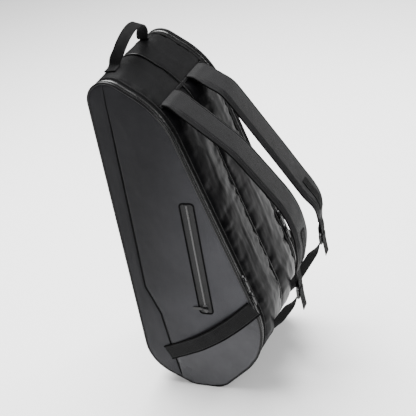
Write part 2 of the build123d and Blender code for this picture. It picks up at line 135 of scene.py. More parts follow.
def corner_arc(index):
    """Centre, radius, first and last outward angle of a rounded corner."""
    x, z, radius = CORNERS[index]
    before = CORNERS[index - 1]
    after = CORNERS[(index + 1) % len(CORNERS)]
    ux, uz = unit(before[0] - x, before[1] - z)
    vx, vz = unit(after[0] - x, after[1] - z)
    bx, bz = unit(ux + vx, uz + vz)
    sine = abs(ux * bz - uz * bx)
    first = math.atan2(ux, -uz)
    last = math.atan2(-vx, vz)
    while last < first:
        last += 2 * math.pi
    return (x + bx * radius / sine, z + bz * radius / sine), radius, first, last


class Outline:
    """The side outline as dense samples of place and outward normal."""

    def __init__(self, spacing=0.0005):
        points, normals, marks = [], [], {}
        for index in range(len(CORNERS)):
            (cx, cz), radius, first, last = corner_arc(index)
            count = max(3, int((last - first) * radius / spacing))
            marks[index] = len(points)
            for angle in np.linspace(first, last, count):
                normal = (math.cos(angle), math.sin(angle))
                normals.append(normal)
                points.append((cx + radius * normal[0], cz + radius * normal[1]))
            (nx_c, nz_c), next_radius, next_first, _ = corner_arc((index + 1) % len(CORNERS))
            end = np.array(points[-1])
            start = np.array(
                (
                    nx_c + next_radius * math.cos(next_first),
                    nz_c + next_radius * math.sin(next_first),
                )
            )
            gap = start - end
            steps = max(2, int(np.linalg.norm(gap) / spacing))
            for k in range(1, steps):
                points.append(tuple(end + gap * k / steps))
                normals.append(normal)
        self.points = np.array(points)
        self.normals = np.array(normals)
        step = np.linalg.norm(np.roll(self.points, -1, axis=0) - self.points, axis=1)
        self.s = np.concatenate([[0.0], np.cumsum(step)[:-1]])
        self.length = float(step.sum())
        self.marks = marks

    def at(self, s, inset=0.0):
        """Places and outward normals at lengths s along the outline."""
        s = np.mod(np.asarray(s, float), self.length)
        place = self._mix(self.points, s)
        normal = self._mix(self.normals, s)
        normal /= np.linalg.norm(normal, axis=-1, keepdims=True)
        return place - normal * np.asarray(inset)[..., None], normal

    def _mix(self, table, s):
        """Values of a closed table at lengths s."""
        return mixed(np.vstack([table, table[:1]]), np.append(self.s, self.length), s)

    def s_at(self, index, angle):
        """Length along the outline of an outward angle on a corner's arc."""
        _, radius, first, _ = corner_arc(index)
        while angle < first - 1e-6:
            angle += 2 * math.pi
        while angle > first + 2 * math.pi - 1e-6:
            angle -= 2 * math.pi
        return self.s[self.marks[index]] + radius * (angle - first)

    def nearest(self, x, z):
        """Distance inside the outline and length along it, for arrays of points."""
        sparse = slice(None, None, 4)
        places, lengths = self.points[sparse], self.s[sparse]
        flat = np.stack([x.ravel(), z.ravel()], axis=-1)
        distance = np.empty(len(flat))
        along = np.empty(len(flat))
        for low in range(0, len(flat), 2000):
            part = flat[low : low + 2000]
            gap = np.linalg.norm(part[:, None] - places[None], axis=-1)
            pick = gap.argmin(axis=1)
            distance[low : low + 2000] = gap[np.arange(len(part)), pick]
            along[low : low + 2000] = lengths[pick]
        return distance.reshape(x.shape), along.reshape(x.shape)


OUTLINE = Outline()
S_SEAM = OUTLINE.s_at(SHOULDER, SEAM_ANGLE)
S_ANCHOR = OUTLINE.s_at(LOWER_RIGHT, ANCHOR_ANGLE)
S_TOP = OUTLINE.s_at(TOP_LEFT, FRONT_ANGLE)
S_LOW = OUTLINE.s_at(LOWER_LEFT, FRONT_ANGLE)
S_LOW_WRAPPED = S_LOW - OUTLINE.length


# ---- smooth random fields ------------------------------------------------
def field(u, v, seed):
    """Smooth noise between -1 and 1, one cell per unit of u and v."""
    table = np.random.RandomState(seed).uniform(-1, 1, (64, 64))
    iu, iv = np.floor(u).astype(int), np.floor(v).astype(int)
    fu, fv = u - iu, v - iv
    fu, fv = fu * fu * (3 - 2 * fu), fv * fv * (3 - 2 * fv)
    left, right = iu % 64, (iu + 1) % 64
    under, over = iv % 64, (iv + 1) % 64
    low = table[left, under] * (1 - fu) + table[right, under] * fu
    high = table[left, over] * (1 - fu) + table[right, over] * fu
    return low * (1 - fv) + high * fv


def layered(u, v, seed, octaves=3):
    """Several sizes of the same noise added up."""
    total = np.zeros(np.broadcast(u, v).shape)
    for k in range(octaves):
        total += field(u * 2**k, v * 2**k, seed + k) / 2**k
    return total


def creases(u, v, seed):
    """Sharp-crested folds, 0 between them and 1 on a crest."""
    return np.clip(1 - 3.2 * np.abs(layered(u, v, seed, 2)), 0, 1)


def smooth(t):
    """Ease from 0 to 1 while t goes from 0 to 1."""
    t = np.clip(t, 0, 1)
    return t * t * (3 - 2 * t)


# ---- mesh helpers --------------------------------------------------------
def unit_rows(vectors):
    """Vectors in rows, each scaled to length 1."""
    return vectors / np.linalg.norm(vectors, axis=1, keepdims=True)


def repeated(vector, count):
    """The same vector in every row."""
    return np.tile(np.asarray(vector, float), (count, 1))


def lengths_along(points):
    """Length along a polyline at each of its points."""
    step = np.linalg.norm(np.diff(points, axis=0), axis=1)
    return np.concatenate([[0.0], np.cumsum(step)])


def spread(first, last, rows, columns, endpoint=True):
    """Grids of two values, the first running over the rows, the last over the columns."""
    down = np.linspace(*first, rows, endpoint=endpoint)[:, None] * np.ones((1, columns))
    across = np.linspace(*last, columns)[None, :] * np.ones((rows, 1))
    return down, across


def layer_of(x, y, z):
    """A grid of points from grids of x and z, at one y or a grid of y."""
    return np.stack(np.broadcast_arrays(x, y, z), axis=-1)


def off_outline(s, y, rise):
    """Points at lengths s and planes y, raised from the outline."""
    place, normal = OUTLINE.at(s)
    x = place[..., 0] + normal[..., 0] * rise
    z = place[..., 1] + normal[..., 1] * rise
    return np.stack([x, y, z], axis=-1)


def build_mesh(name, points, faces, uv, sharp=50):
    """An object from points, faces and a uv per point, with doubled points joined."""
    points = np.asarray(points, float)
    uv = np.asarray(uv, float)
    _, first, inverse = np.unique(
        np.round(points, 6), axis=0, return_index=True, return_inverse=True
    )
    inverse = inverse.ravel()
    kept, corners_uv = [], []
    for face in faces:
        corners = []
        for index in face:
            if inverse[index] not in [inverse[c] for c in corners]:
                corners.append(index)
        if len(corners) >= 3:
            kept.append([int(inverse[c]) for c in corners])
            corners_uv.extend(uv[c] for c in corners)
    mesh = bpy.data.meshes.new(name)
    mesh.from_pydata(points[first].tolist(), [], kept)
    layer = mesh.uv_layers.new(name="metres")
    layer.data.foreach_set("uv", np.array(corners_uv, np.float32).ravel())
    edit = bmesh.new()
    edit.from_mesh(mesh)
    bmesh.ops.recalc_face_normals(edit, faces=edit.faces)
    edit.to_mesh(mesh)
    edit.free()
    mesh.polygons.foreach_set("use_smooth", [True] * len(mesh.polygons))
    mesh.set_sharp_from_angle(angle=math.radians(sharp))
    obj = bpy.data.objects.new(name, mesh)
    bpy.context.scene.collection.objects.link(obj)
    return obj


def grid_faces(rows, columns, start=0, wrap_rows=False, wrap_columns=False):
    """Quads of a grid of points laid out row by row."""
    faces = []
    for i in range(rows if wrap_rows else rows - 1):
        for j in range(columns if wrap_columns else columns - 1):
            a = i * columns + j
            b = i * columns + (j + 1) % columns
            c = ((i + 1) % rows) * columns + (j + 1) % columns
            d = ((i + 1) % rows) * columns + j
            faces.append((start + a, start + b, start + c, start + d))
    return faces


def closed_sheet(name, outer, inner, uv):
    """A cloth-like sheet with a front grid, a back grid and closed edges."""
    rows, columns = outer.shape[:2]
    count = rows * columns
    points = np.concatenate([outer.reshape(-1, 3), inner.reshape(-1, 3)])
    faces = grid_faces(rows, columns) + [
        face[::-1] for face in grid_faces(rows, columns, count)
    ]
    rim = list(range(columns))
    rim += [i * columns + columns - 1 for i in range(1, rows)]
    rim += [(rows - 1) * columns + j for j in range(columns - 2, -1, -1)]
    rim += [i * columns for i in range(rows - 2, 0, -1)]
    for k, a in enumerate(rim):
        b = rim[(k + 1) % len(rim)]
        faces.append((b, a, a + count, b + count))
    both_uv = np.concatenate([uv.reshape(-1, 2), uv.reshape(-1, 2)])
    return build_mesh(name, points, faces, both_uv)


def sweep(name, centre, side, up, profile, uv_width, closed=False, sharp=50):
    """Carry a closed profile (one, or one per place) along a line of places."""
    centre, side, up = (np.asarray(a, float) for a in (centre, side, up))
    profile = np.asarray(profile, float)
    if profile.ndim == 2:
        profile = np.broadcast_to(profile, (len(centre),) + profile.shape)
    rows, columns = profile.shape[:2]
    points = (
        centre[:, None]
        + side[:, None] * profile[..., :1]
        + up[:, None] * profile[..., 1:]
    )
    along = lengths_along(centre)
    across = np.linspace(0, uv_width, columns)
    uv = np.stack(np.meshgrid(across, along), axis=-1)
    faces = grid_faces(rows, columns, wrap_rows=closed, wrap_columns=True)
    if not closed:
        faces.append(tuple(range(columns))[::-1])
        faces.append(tuple((rows - 1) * columns + j for j in range(columns)))
    return build_mesh(name, points.reshape(-1, 3), faces, uv.reshape(-1, 2), sharp)


def rounded_bar(width, thickness, count=6):
    """Outline of a flat strip with rounded edges, for webbing and cord."""
    half = width / 2 - thickness / 2
    points = []
    for centre, first in ((half, -90), (-half, 90)):
        for angle in np.linspace(first, first + 180, count):
            a = math.radians(angle)
            points.append((centre + thickness / 2 * math.cos(a), thickness / 2 * math.sin(a)))
    return np.array(points)


def webbing_profile(width, thickness, ribs=7):
    """A strip whose faces carry shallow lengthwise ribs and thicker selvedges."""
    x = np.linspace(-width / 2 + thickness * 0.4, width / 2 - thickness * 0.4, ribs * 6 + 1)
    ripple = 0.00016 * np.cos(2 * math.pi * ribs * x / width)
    edge = 0.00018 * np.exp(-(((np.abs(x) - width / 2) / 0.0016) ** 2))
    top = thickness / 2 - 0.00016 + ripple + edge
    right = [(width / 2, thickness * 0.2), (width / 2, -thickness * 0.2)]
    upper = list(zip(x, top))
    lower = list(zip(x[::-1], -top[::-1]))
    left = [(-width / 2, -thickness * 0.2), (-width / 2, thickness * 0.2)]
    return np.array(upper + right + lower + left)


def rounded_path(points, radii, spacing=0.003):
    """Straight runs joined by tangent arcs, sampled evenly, as x and z."""
    points = [np.array(p, float) for p in points]
    samples = [points[0]]
    for index, radius in enumerate(radii, start=1):
        before, here, after = points[index - 1 : index + 2]
        u = (before - here) / np.linalg.norm(before - here)
        v = (after - here) / np.linalg.norm(after - here)
        half = math.acos(np.clip(u @ v, -1, 1)) / 2
        reach = radius / math.tan(half)
        bisector = (u + v) / np.linalg.norm(u + v)
        centre = here + bisector * radius / math.sin(half)
        start, end = here + u * reach, here + v * reach
        turn = math.pi - 2 * half
        first = math.atan2(*(start - centre)[::-1])
        sign = 1 if (u[0] * v[1] - u[1] * v[0]) < 0 else -1
        for k in np.linspace(0, 1, max(3, int(turn * radius / spacing) + 1)):
            angle = first + sign * turn * k
            samples.append(centre + radius * np.array((math.cos(angle), math.sin(angle))))
        assert np.linalg.norm(samples[-1] - end) < 1e-5
    samples.append(points[-1])
    return resample(samples, spacing=spacing)


def resample(points, spacing=None, count=None):
    """Evenly spaced points along a polyline."""
    points = np.asarray(points, float)
    along = lengths_along(points)
    if count is None:
        count = max(3, int(along[-1] / spacing) + 1)
    wanted = np.linspace(0, along[-1], count)
    return mixed(points, along, wanted)


def mixed(table, along, wanted):
    """Rows of a table read off at the wanted lengths."""
    return np.stack([np.interp(wanted, along, column) for column in table.T], axis=-1)


def xz_frames(path, y):
    """Centre line, side and up vectors for a strip lying across y."""
    tangent = unit_rows(np.gradient(path, axis=0))
    count = len(path)
    centre = layer_of(path[:, 0], y, path[:, 1])
    side = repeated((0, 1, 0), count)
    up = np.stack([-tangent[:, 1], np.zeros(count), tangent[:, 0]], axis=-1)
    flip = np.sign(up[:, 0].mean())
    return centre, side, up * flip


def stitches(name, places, outward, pitch=0.0034, size=0.00045):
    """A row of short raised thread dashes along a 3-D line."""
    places, outward = np.asarray(places, float), np.asarray(outward, float)
    along = lengths_along(places)
    starts = np.arange(0.0, along[-1] - pitch, pitch)
    heads = mixed(places, along, starts)
    tails = mixed(places, along, starts + pitch * 0.72)
    normals = unit_rows(mixed(outward, along, starts))
    sides = np.cross(unit_rows(tails - heads), normals)
    angles = np.arange(6) * math.pi / 3
    points, faces = [], []
    for head, tail, normal, side in zip(heads, tails, normals, sides):
        base = len(points)
        for place, swell in ((head, 0.45), ((head + tail) / 2, 1.0), (tail, 0.45)):
            for a in angles:
                out = side * math.cos(a) + normal * math.sin(a)
                points.append(place + out * size * swell)
        faces += grid_faces(3, 6, base, wrap_columns=True)
        faces.append(tuple(range(base, base + 6))[::-1])
        faces.append(tuple(range(base + 12, base + 18)))
    return build_mesh(name, points, faces, np.zeros((len(points), 2)))


# ---- materials -----------------------------------------------------------
MATERIALS = {}
BANDS_PER_METRE = 3.18  # of a wave texture whose scale is 1


def shader(name, colour, rough, **sockets):
    """A new material with its Principled shader's constant values set."""
    material = bpy.data.materials.new(name)
    material.use_nodes = True
    tree = material.node_tree
    principled = tree.nodes["Principled BSDF"]
    principled.inputs["Base Color"].default_value = (*colour, 1)
    principled.inputs["Roughness"].default_value = rough
    for socket, value in sockets.items():
        principled.inputs[socket.replace("_", " ")].default_value = value
    MATERIALS[name] = material
    return material, tree, principled


def node(tree, kind, **values):
    """A new node: sockets are linked, numbers fill its inputs, and the rest are settings."""
    made = tree.nodes.new(kind)
    for key, value in values.items():
        label = key.replace("_", " ")
        if isinstance(value, bpy.types.NodeSocket):
            tree.links.new(value, made.inputs[label])
        elif label in made.inputs:
            made.inputs[label].default_value = value
        else:
            setattr(made, key, value)
    return made


def coordinates(tree, use_uv, stretch=(1, 1, 1)):
    """Texture coordinates in metres, from the uv map or from object space."""
    source = node(tree, "ShaderNodeTexCoord").outputs["UV" if use_uv else "Object"]
    return node(tree, "ShaderNodeMapping", Vector=source, Scale=stretch).outputs["Vector"]


def mottle(tree, colour, spread, scale, use_uv=False):
    """Slow variation of the base colour between two shades, and the noise behind it."""
    vector = coordinates(tree, use_uv)
    noise = node(tree, "ShaderNodeTexNoise", Vector=vector, Scale=scale, Detail=4.0, Roughness=0.6)
    ramp = node(tree, "ShaderNodeValToRGB", Fac=noise.outputs["Fac"])
    shades = (1 - spread, 1 + spread)
    for element, place, shade in zip(ramp.color_ramp.elements, (0.3, 0.7), shades):
        element.position = place
        element.color = (*(c * shade for c in colour), 1)
    return ramp.outputs["Color"], noise.outputs["Fac"]


def multiplied(tree, tint, by, amount):
    """A tint multiplied by another colour or value, by some amount."""
    mix = node(
        tree, "ShaderNodeMixRGB", blend_type="MULTIPLY", Fac=amount, Color1=tint, Color2=by
    )
    return mix.outputs["Color"]


def surface(tree, principled, tint, source, low, high):
    """Colour from a tint, and roughness that follows a texture between two values."""
    remap = node(tree, "ShaderNodeMapRange", Value=source, To_Min=low, To_Max=high)
    tree.links.new(tint, principled.inputs["Base Color"])
    tree.links.new(remap.outputs["Result"], principled.inputs["Roughness"])


def bands(tree, vector, direction, pitch, **values):
    """Waves across a direction, one to each pitch."""
    scale = 1 / pitch / BANDS_PER_METRE
    wave = node(
        tree, "ShaderNodeTexWave", bands_direction=direction, Vector=vector, Scale=scale, **values
    )
    return wave.outputs["Fac"]


def weave_height(tree, pitch, use_uv):
    """Plain weave: threads over and under in both directions."""
    vector = coordinates(tree, use_uv)
    product = node(tree, "ShaderNodeMath", operation="MULTIPLY")
    for index, direction in enumerate(("X", "Y" if use_uv else "Z")):
        threads = bands(tree, vector, direction, pitch, Distortion=0.4)
        tree.links.new(threads, product.inputs[index])
    return product.outputs["Value"]


def bump(tree, principled, layers):
    """Chain bump layers, each a height output and a depth in metres."""
    below = {}
    for height, depth in layers:
        made = node(tree, "ShaderNodeBump", Height=height, Distance=depth, **below)
        below = {"Normal": made.outputs["Normal"]}
    tree.links.new(below["Normal"], principled.inputs["Normal"])


def noise_height(tree, scale, detail=3.0, stretch=(1, 1, 1)):
    """Noise in object space, as a height for bump."""
    vector = coordinates(tree, False, stretch)
    noise = node(tree, "ShaderNodeTexNoise", Vector=vector, Scale=scale, Detail=detail)
    return noise.outputs["Fac"]


def painted_sheen_fade(tree):
    """Factor for the painted sheen: grows from 0 by the narrow end to 1 by the toe and the strap
    side.
    """
    place = node(tree, "ShaderNodeTexCoord").outputs["Object"]
    split = node(tree, "ShaderNodeSeparateXYZ", Vector=place)
    lean = node(tree, "ShaderNodeMath", operation="MULTIPLY_ADD")
    lean.inputs[1].default_value = -0.35
    tree.links.new(split.outputs["Z"], lean.inputs[0])
    tree.links.new(split.outputs["X"], lean.inputs[2])
    remap = node(
        tree, "ShaderNodeMapRange", interpolation_type="SMOOTHSTEP",
        Value=lean.outputs["Value"], From_Min=-0.27, From_Max=0.05,
    )
    return remap.outputs["Result"]


def cloth_material(name, colour, rough, pitch, depth, wrinkle, use_uv=False, painted_sheen_gain=None, **sockets):
    """Woven fabric with mottled colour, uneven sheen and a fine weave; a gain adds painted sheen, a
    base colour lightened towards the toe and the strap side.
    """
    _, tree, principled = shader(name, colour, rough, **sockets)
    tint, fac = mottle(tree, colour, 0.16, 9.0, use_uv)
    weave = weave_height(tree, pitch, use_uv)
    shown = multiplied(tree, tint, weave, 0.35)
    # Painted sheen: the base colour is lightened by up to the gain towards the toe and the strap
    # side, standing in for light falling there.
    if painted_sheen_gain:
        shown = multiplied(tree, shown, (painted_sheen_gain, painted_sheen_gain, painted_sheen_gain, 1), painted_sheen_fade(tree))
    surface(tree, principled, shown, fac, rough - 0.07, rough + 0.07)
    fibres = noise_height(tree, 900.0, 2.0)
    layers = [(noise_height(tree, 14.0), wrinkle), (weave, depth), (fibres, depth * 0.5)]
    bump(tree, principled, layers)


def webbing_material(name, colour, rough):
    """Ribbed webbing: chevron ribs across the strip and threads along it."""
    _, tree, principled = shader(
        name, colour, rough, Specular_IOR_Level=0.045, Sheen_Weight=0.004
    )
    tint, fac = mottle(tree, colour, 0.2, 40.0, True)
    vector = coordinates(tree, True)
    rib = bands(tree, vector, "Y", 0.0016, Distortion=1.2, Detail_Scale=2.0)
    thread = bands(tree, vector, "X", 0.0011)
    shown = multiplied(tree, tint, rib, 0.5)
    surface(tree, principled, shown, fac, rough - 0.06, rough + 0.06)
    bump(tree, principled, [(rib, 0.00035), (thread, 0.00025)])


def tarpaulin_material(name, colour, rough, level, coat):
    """Glossy coated tarpaulin with soft creases under a clear coat."""
    _, tree, principled = shader(
        name, colour, rough, Specular_IOR_Level=level, Coat_Weight=coat, Coat_Roughness=0.18
    )
    tint, fac = mottle(tree, colour, 0.2, 7.0)
    surface(tree, principled, tint, fac, rough - 0.08, rough + 0.1)
    folds = noise_height(tree, 22.0, 2.0, (1, 1, 0.6))
    grain = noise_height(tree, 420.0, 2.0)
    bump(tree, principled, [(folds, 0.004), (grain, 0.00008)])


def moulded_material(name, colour, rough, grain, **sockets):
    """Moulded plastic, rubber or enamel with a fine grain and worn patches."""
    _, tree, principled = shader(name, colour, rough, **sockets)
    tint, fac = mottle(tree, colour, 0.18, 60.0)
    surface(tree, principled, tint, fac, rough - 0.06, rough + 0.08)
    bump(tree, principled, [(noise_height(tree, 1500.0, 2.0), grain)])


def quilted_material(name, colour):
    """Thin lining with a fine ripstop grid."""
    _, tree, principled = shader(name, colour, 0.6, Sheen_Weight=0.1, Sheen_Roughness=0.5)
    tint, _ = mottle(tree, colour, 0.15, 12.0)
    tree.links.new(tint, principled.inputs["Base Color"])
    weave = weave_height(tree, 0.005, False)
    bump(tree, principled, [(noise_height(tree, 16.0), 0.004), (weave, 0.0004)])


def make_materials():
    """Every material of the bag, by the name its pieces ask for."""
    # The face fabric's gain is painted sheen: its base colour grows lighter towards the toe and the
    # strap side in place of light.
    cloth_material(
        "face_fabric", (0.0150, 0.0150, 0.0164), 0.38, 0.0009, 0.00010, 0.0012,
        painted_sheen_gain=3.4, Specular_IOR_Level=0.045, Sheen_Weight=0.004, Sheen_Roughness=0.35,
    )
    cloth_material(
        "gusset_fabric", (0.0030, 0.0030, 0.0033), 0.52, 0.0010, 0.00016, 0.0015,
        Specular_IOR_Level=0.04, Sheen_Weight=0.006, Sheen_Roughness=0.45,
    )
    cloth_material(
        "strap_fabric", (0.0085, 0.0085, 0.0090), 0.58, 0.0010, 0.00012, 0.0010,
        use_uv=True, Specular_IOR_Level=0.08, Sheen_Weight=0.02, Sheen_Roughness=0.4,
    )
    cloth_material(
        "zip_tape", (0.0024, 0.0024, 0.0026), 0.62, 0.0011, 0.00022, 0.0003,
        use_uv=True, Specular_IOR_Level=0.04, Sheen_Weight=0.004, Sheen_Roughness=0.5,
    )
    tarpaulin_material("gloss_fabric", (0.0020, 0.0020, 0.0023), 0.36, 0.035, 0.035)
    # The toe's base colour, far lighter than the other gloss fabric's, is painted reflection: it
    # stands in for the light the glossy black toe reflects.
    tarpaulin_material("toe_gloss_painted_reflection", (0.0400, 0.0400, 0.0430), 0.28, 0.05, 0.11)
    webbing_material("webbing", (0.0036, 0.0036, 0.0038), 0.55)
    webbing_material("band_webbing", (0.0110, 0.0110, 0.0114), 0.55)
    quilted_material("lining", (0.045, 0.045, 0.049))
    moulded_material("piping", (0.0012, 0.0012, 0.0013), 0.30, 0.00003, Specular_IOR_Level=0.16)
    moulded_material("zip_teeth", (0.0060, 0.0060, 0.0060), 0.28, 0.00002, Specular_IOR_Level=0.6)
    moulded_material("slider_metal", (0.006, 0.006, 0.0065), 0.28, 0.00001, Metallic=0.3)
    moulded_material("puller", (0.0070, 0.0070, 0.0070), 0.46, 0.00006, Specular_IOR_Level=0.3)
    moulded_material("buckle_plastic", (0.0060, 0.0060, 0.0063), 0.26, 0.00002)
    cloth_material(
        "binding", (0.0014, 0.0014, 0.0015), 0.55, 0.0008, 0.00020, 0.0003,
        use_uv=True, Specular_IOR_Level=0.03,
    )
    cloth_material(
        "flap_fabric", (0.0100, 0.0100, 0.0104), 0.55, 0.0012, 0.00022, 0.0003,
        Specular_IOR_Level=0.2,
    )
    moulded_material("thread", (0.016, 0.016, 0.0165), 0.55, 0.00004, Specular_IOR_Level=0.25)


def finish_piece(obj, body, slot, material=None, nodes=()):
    """Give a piece its material (the slot's, unless another is named) and body, and hide the nodes
    it stands for.
    """
    obj.data.materials.clear()
    obj.data.materials.append(MATERIALS[material or slot])
    if nodes:
        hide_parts(*nodes)
    if body is not None:
        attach(obj, body)
    return obj


# ---- side panels ---------------------------------------------------------
def band_point(t, shift=0.0):
    """Places along the grab band's centreline, 0 to 1, or on a line beside it."""
    (x0, z0), (x1, z1) = BAND_ENDS
    ux, uz = unit(x1 - x0, z1 - z0)
    nx, nz = -uz, ux
    t = np.asarray(t, float)
    drop = shift - BAND_SAG * 4 * t * (1 - t)
    return np.stack(
        [x0 + (x1 - x0) * t + nx * drop, z0 + (z1 - z0) * t + nz * drop], axis=-1
    )


def seam_x(z):
    """Where the long seam between side strip and main field lies at a height."""
    table = np.array(STRIP_SEAM)[::-1]
    return np.interp(z, table[:, 1], table[:, 0])


def seam_crossing(s_low, s_high):
    """Length along the outline where the long seam runs into it."""
    s = np.linspace(s_low, s_high, 800)
    place, _ = OUTLINE.at(s, FACE_INSET)
    side = place[:, 0] - seam_x(place[:, 1])
    return s[np.abs(side).argmin()]


def patch(left, right, bottom, top):
    """Blend four edge curves into a grid of x and z."""
    rows, columns = len(left), len(bottom)
    v = np.linspace(0, 1, rows)[:, None, None]
    u = np.linspace(0, 1, columns)[None, :, None]
    ruled = (1 - u) * left[:, None] + u * right[:, None]
    lofted = (1 - v) * bottom[None] + v * top[None]
    corners = (
        (1 - u) * (1 - v) * bottom[0]
        + u * (1 - v) * bottom[-1]
        + (1 - u) * v * top[0]
        + u * v * top[-1]
    )
    return ruled + lofted - corners


def panel_outline(s_from, s_to, count, inset=FACE_INSET):
    """Edge of a side panel between two lengths along the outline."""
    place, _ = OUTLINE.at(np.linspace(s_from, s_to, count), inset)
    return place


def seam_line(z_from, z_to, count):
    """The long seam between two heights."""
    z = np.linspace(z_from, z_to, count)
    return np.stack([seam_x(z), z], axis=-1)


def pocket_gap(x, z):
    """Distance outside the accessory pocket's frame, negative inside it."""
    middle, half = (POCKET_LOW + POCKET_HIGH) / 2, (POCKET_HIGH - POCKET_LOW) / 2
    return np.maximum(np.abs(x - POCKET_X) - POCKET_W / 2, np.abs(z - middle) - half)


def face_height(x, z, seam_dip=0.0):
    """How far the padded side panel stands out at places on it."""
    inside, along = OUTLINE.nearest(x, z)
    roll = 0.0032 * (1 - np.exp(-inside / 0.005))
    crown = 0.0042 * (1 - np.exp(-((inside / 0.060) ** 2)))
    zipped = smooth((x + 0.120) / 0.03)
    pucker = 0.0011 * np.exp(-inside / 0.014) * layered(along / 0.011, inside / 0.05, 11, 2)
    drape = 0.0011 * layered(x / 0.075, z / 0.16, 5, 2) * smooth(inside / 0.03)
    drape = drape + 0.0004 * layered(x / 0.02, z / 0.035, 8, 2) * smooth(inside / 0.02)
    sewn = 0.0013 * np.exp(-np.maximum(pocket_gap(x, z), 0) / 0.006)
    calm = smooth(pocket_gap(x, z) / 0.02)
    level = FACE_Y + roll + crown + (zipped * pucker + drape) * calm - sewn
    return level - seam_dip


def edge_dip(rows, columns, width, height, edges, depth=0.0022, reach=0.0045):
    """Dip towards the chosen edges of a patch, as a sewn seam draws them in."""
    u = np.linspace(0, 1, columns)[None, :] * width
    v = np.linspace(0, 1, rows)[:, None] * height
    gaps = {"left": u, "right": width - u, "bottom": v, "top": height - v}
    dip = np.zeros((rows, columns))
    for edge in edges:
        gap = np.broadcast_to(gaps[edge], dip.shape)
        dip = np.maximum(dip, depth * np.exp(-((gap / reach) ** 2)))
    return dip


def face_piece(name, side, sign, grid, dip, slot, node_name, material=None):
    """One sewn piece of a side panel, from its grid of x and z."""
    x, z = grid[..., 0], grid[..., 1]
    out = face_height(x, z, dip)
    outer, inner = layer_of(x, sign * out, z), layer_of(x, sign * (out - CLOTH_T), z)
    obj = closed_sheet(f"{side}_{name}", outer, inner, grid)
    return finish_piece(obj, f"{side}_panel", slot, material, [f"{side}_{node_name}"])


def side_panel(side, sign):
    """Face of a side panel: side strip, main field and glossy toe."""
    s_top = seam_crossing(S_SEAM, S_TOP)
    s_bottom = seam_crossing(S_LOW_WRAPPED, 0.02)
    s_band = OUTLINE.nearest(np.array([BAND_ENDS[1][0]]), np.array([BAND_ENDS[1][1]]))[1][0]
    band_start = np.array(BAND_ENDS[0])
    top_z = panel_outline(s_top, s_top, 1)[0][1]
    bottom_z = panel_outline(s_bottom, s_bottom, 1)[0][1]
    band = band_point(np.linspace(0, 1, 70))
    band[-1] = panel_outline(s_band, s_band, 1)[0]
    # Long side strip on the hinge side.
    rows, columns = 210, 16
    left = panel_outline(s_bottom + OUTLINE.length, s_top, rows)
    right = seam_line(bottom_z, top_z, rows)
    flat_low = np.repeat(left[:1], columns, axis=0)
    flat_high = np.repeat(left[-1:], columns, axis=0)
    strip = patch(left, right, flat_low, flat_high)
    dip = edge_dip(rows, columns, 0.034, 0.73, ("right",))
    face_piece("side_strip_cloth", side, sign, strip, dip, "face_fabric", "side_strip")
    # Main field between the seam, the zip and the grab band.
    rows, columns = 200, 84
    left = seam_line(band_start[1], top_z, rows)
    right = panel_outline(s_band, s_top, rows)
    top = np.repeat(left[-1:], columns, axis=0)
    main = patch(left, right, resample(band, count=columns), top)
    dip = edge_dip(rows, columns, 0.17, 0.6, ("left", "bottom"))
    face_piece("main_field_cloth", side, sign, main, dip, "face_fabric", "main_field")
    # Glossy toe under the grab band, in a lighter material whose colour is painted reflection.
    rows, columns = 70, 70
    left = seam_line(bottom_z, band_start[1], rows)
    right = panel_outline(s_bottom, s_band, rows)
    bottom = np.repeat(left[:1], columns, axis=0)
    toe = patch(left, right, bottom, resample(band, count=columns))
    dip = edge_dip(rows, columns, 0.16, 0.12, ("left", "top"))
    face_piece("toe_cloth", side, sign, toe, dip, "gloss_fabric", "toe_panel", "toe_gloss_painted_reflection")
    panel_stitching(side, sign, top_z, bottom_z)


def panel_stitching(side, sign, top_z, bottom_z):
    """Dark bound seam between side strip and main field, and its topstitch."""
    z = np.linspace(bottom_z + 0.001, top_z - 0.001, 260)
    x = seam_x(z)
    centre = np.stack([x, sign * (face_height(x, z) - 0.0016), z], axis=-1)
    out = repeated((0, sign, 0), len(z))
    across = np.cross(unit_rows(np.gradient(centre, axis=0)), out)
    profile = rounded_bar(*SEAM_BINDING)
    bind = sweep(f"{side}_panel_seam_binding", centre, across, out, profile, 0.01)
    finish_piece(bind, f"{side}_panel", "face_fabric", "binding")
    z = np.linspace(bottom_z + 0.006, top_z - 0.006, 400)
    x = seam_x(z) + 0.0042
    y = sign * (face_height(x, z) - 0.0006)
    out = repeated((0, sign, 0), len(z))
    obj = stitches(f"{side}_panel_topstitch", np.stack([x, y, z], axis=-1), out)
    finish_piece(obj, f"{side}_panel", "face_fabric", "thread")


def whole_patch(inset):
    """Grid of x and z over the whole side outline, drawn in by an inset."""
    rows, columns = 150, 50
    left = panel_outline(OUTLINE.length, S_TOP - 0.03, rows, inset)
    right = panel_outline(0.0, S_TOP - 0.03, rows, inset)
    return patch(left, right, np.repeat(left[:1], columns, 0), np.repeat(left[-1:], columns, 0))


def panel_back(side, sign):
    """Foam-backed lining on the inside of a side panel, lightly quilted."""
    grid = whole_patch(PANEL_LINING_INSET)
    x, z = grid[..., 0], grid[..., 1]
    inside, _ = OUTLINE.nearest(x, z)
    puff = 0.0012 * smooth(inside / 0.012) * (0.75 + 0.25 * layered(x / 0.05, z / 0.05, 21, 2))
    outer = layer_of(x, sign * LINING_BACK_Y, z)
    inner = layer_of(x, sign * (LINING_BACK_Y - 0.0013 - puff), z)
    obj = closed_sheet(f"{side}_panel_lining", outer, inner, grid)
    finish_piece(obj, f"{side}_panel", "lining", nodes=[f"{side}_panel_foam"])


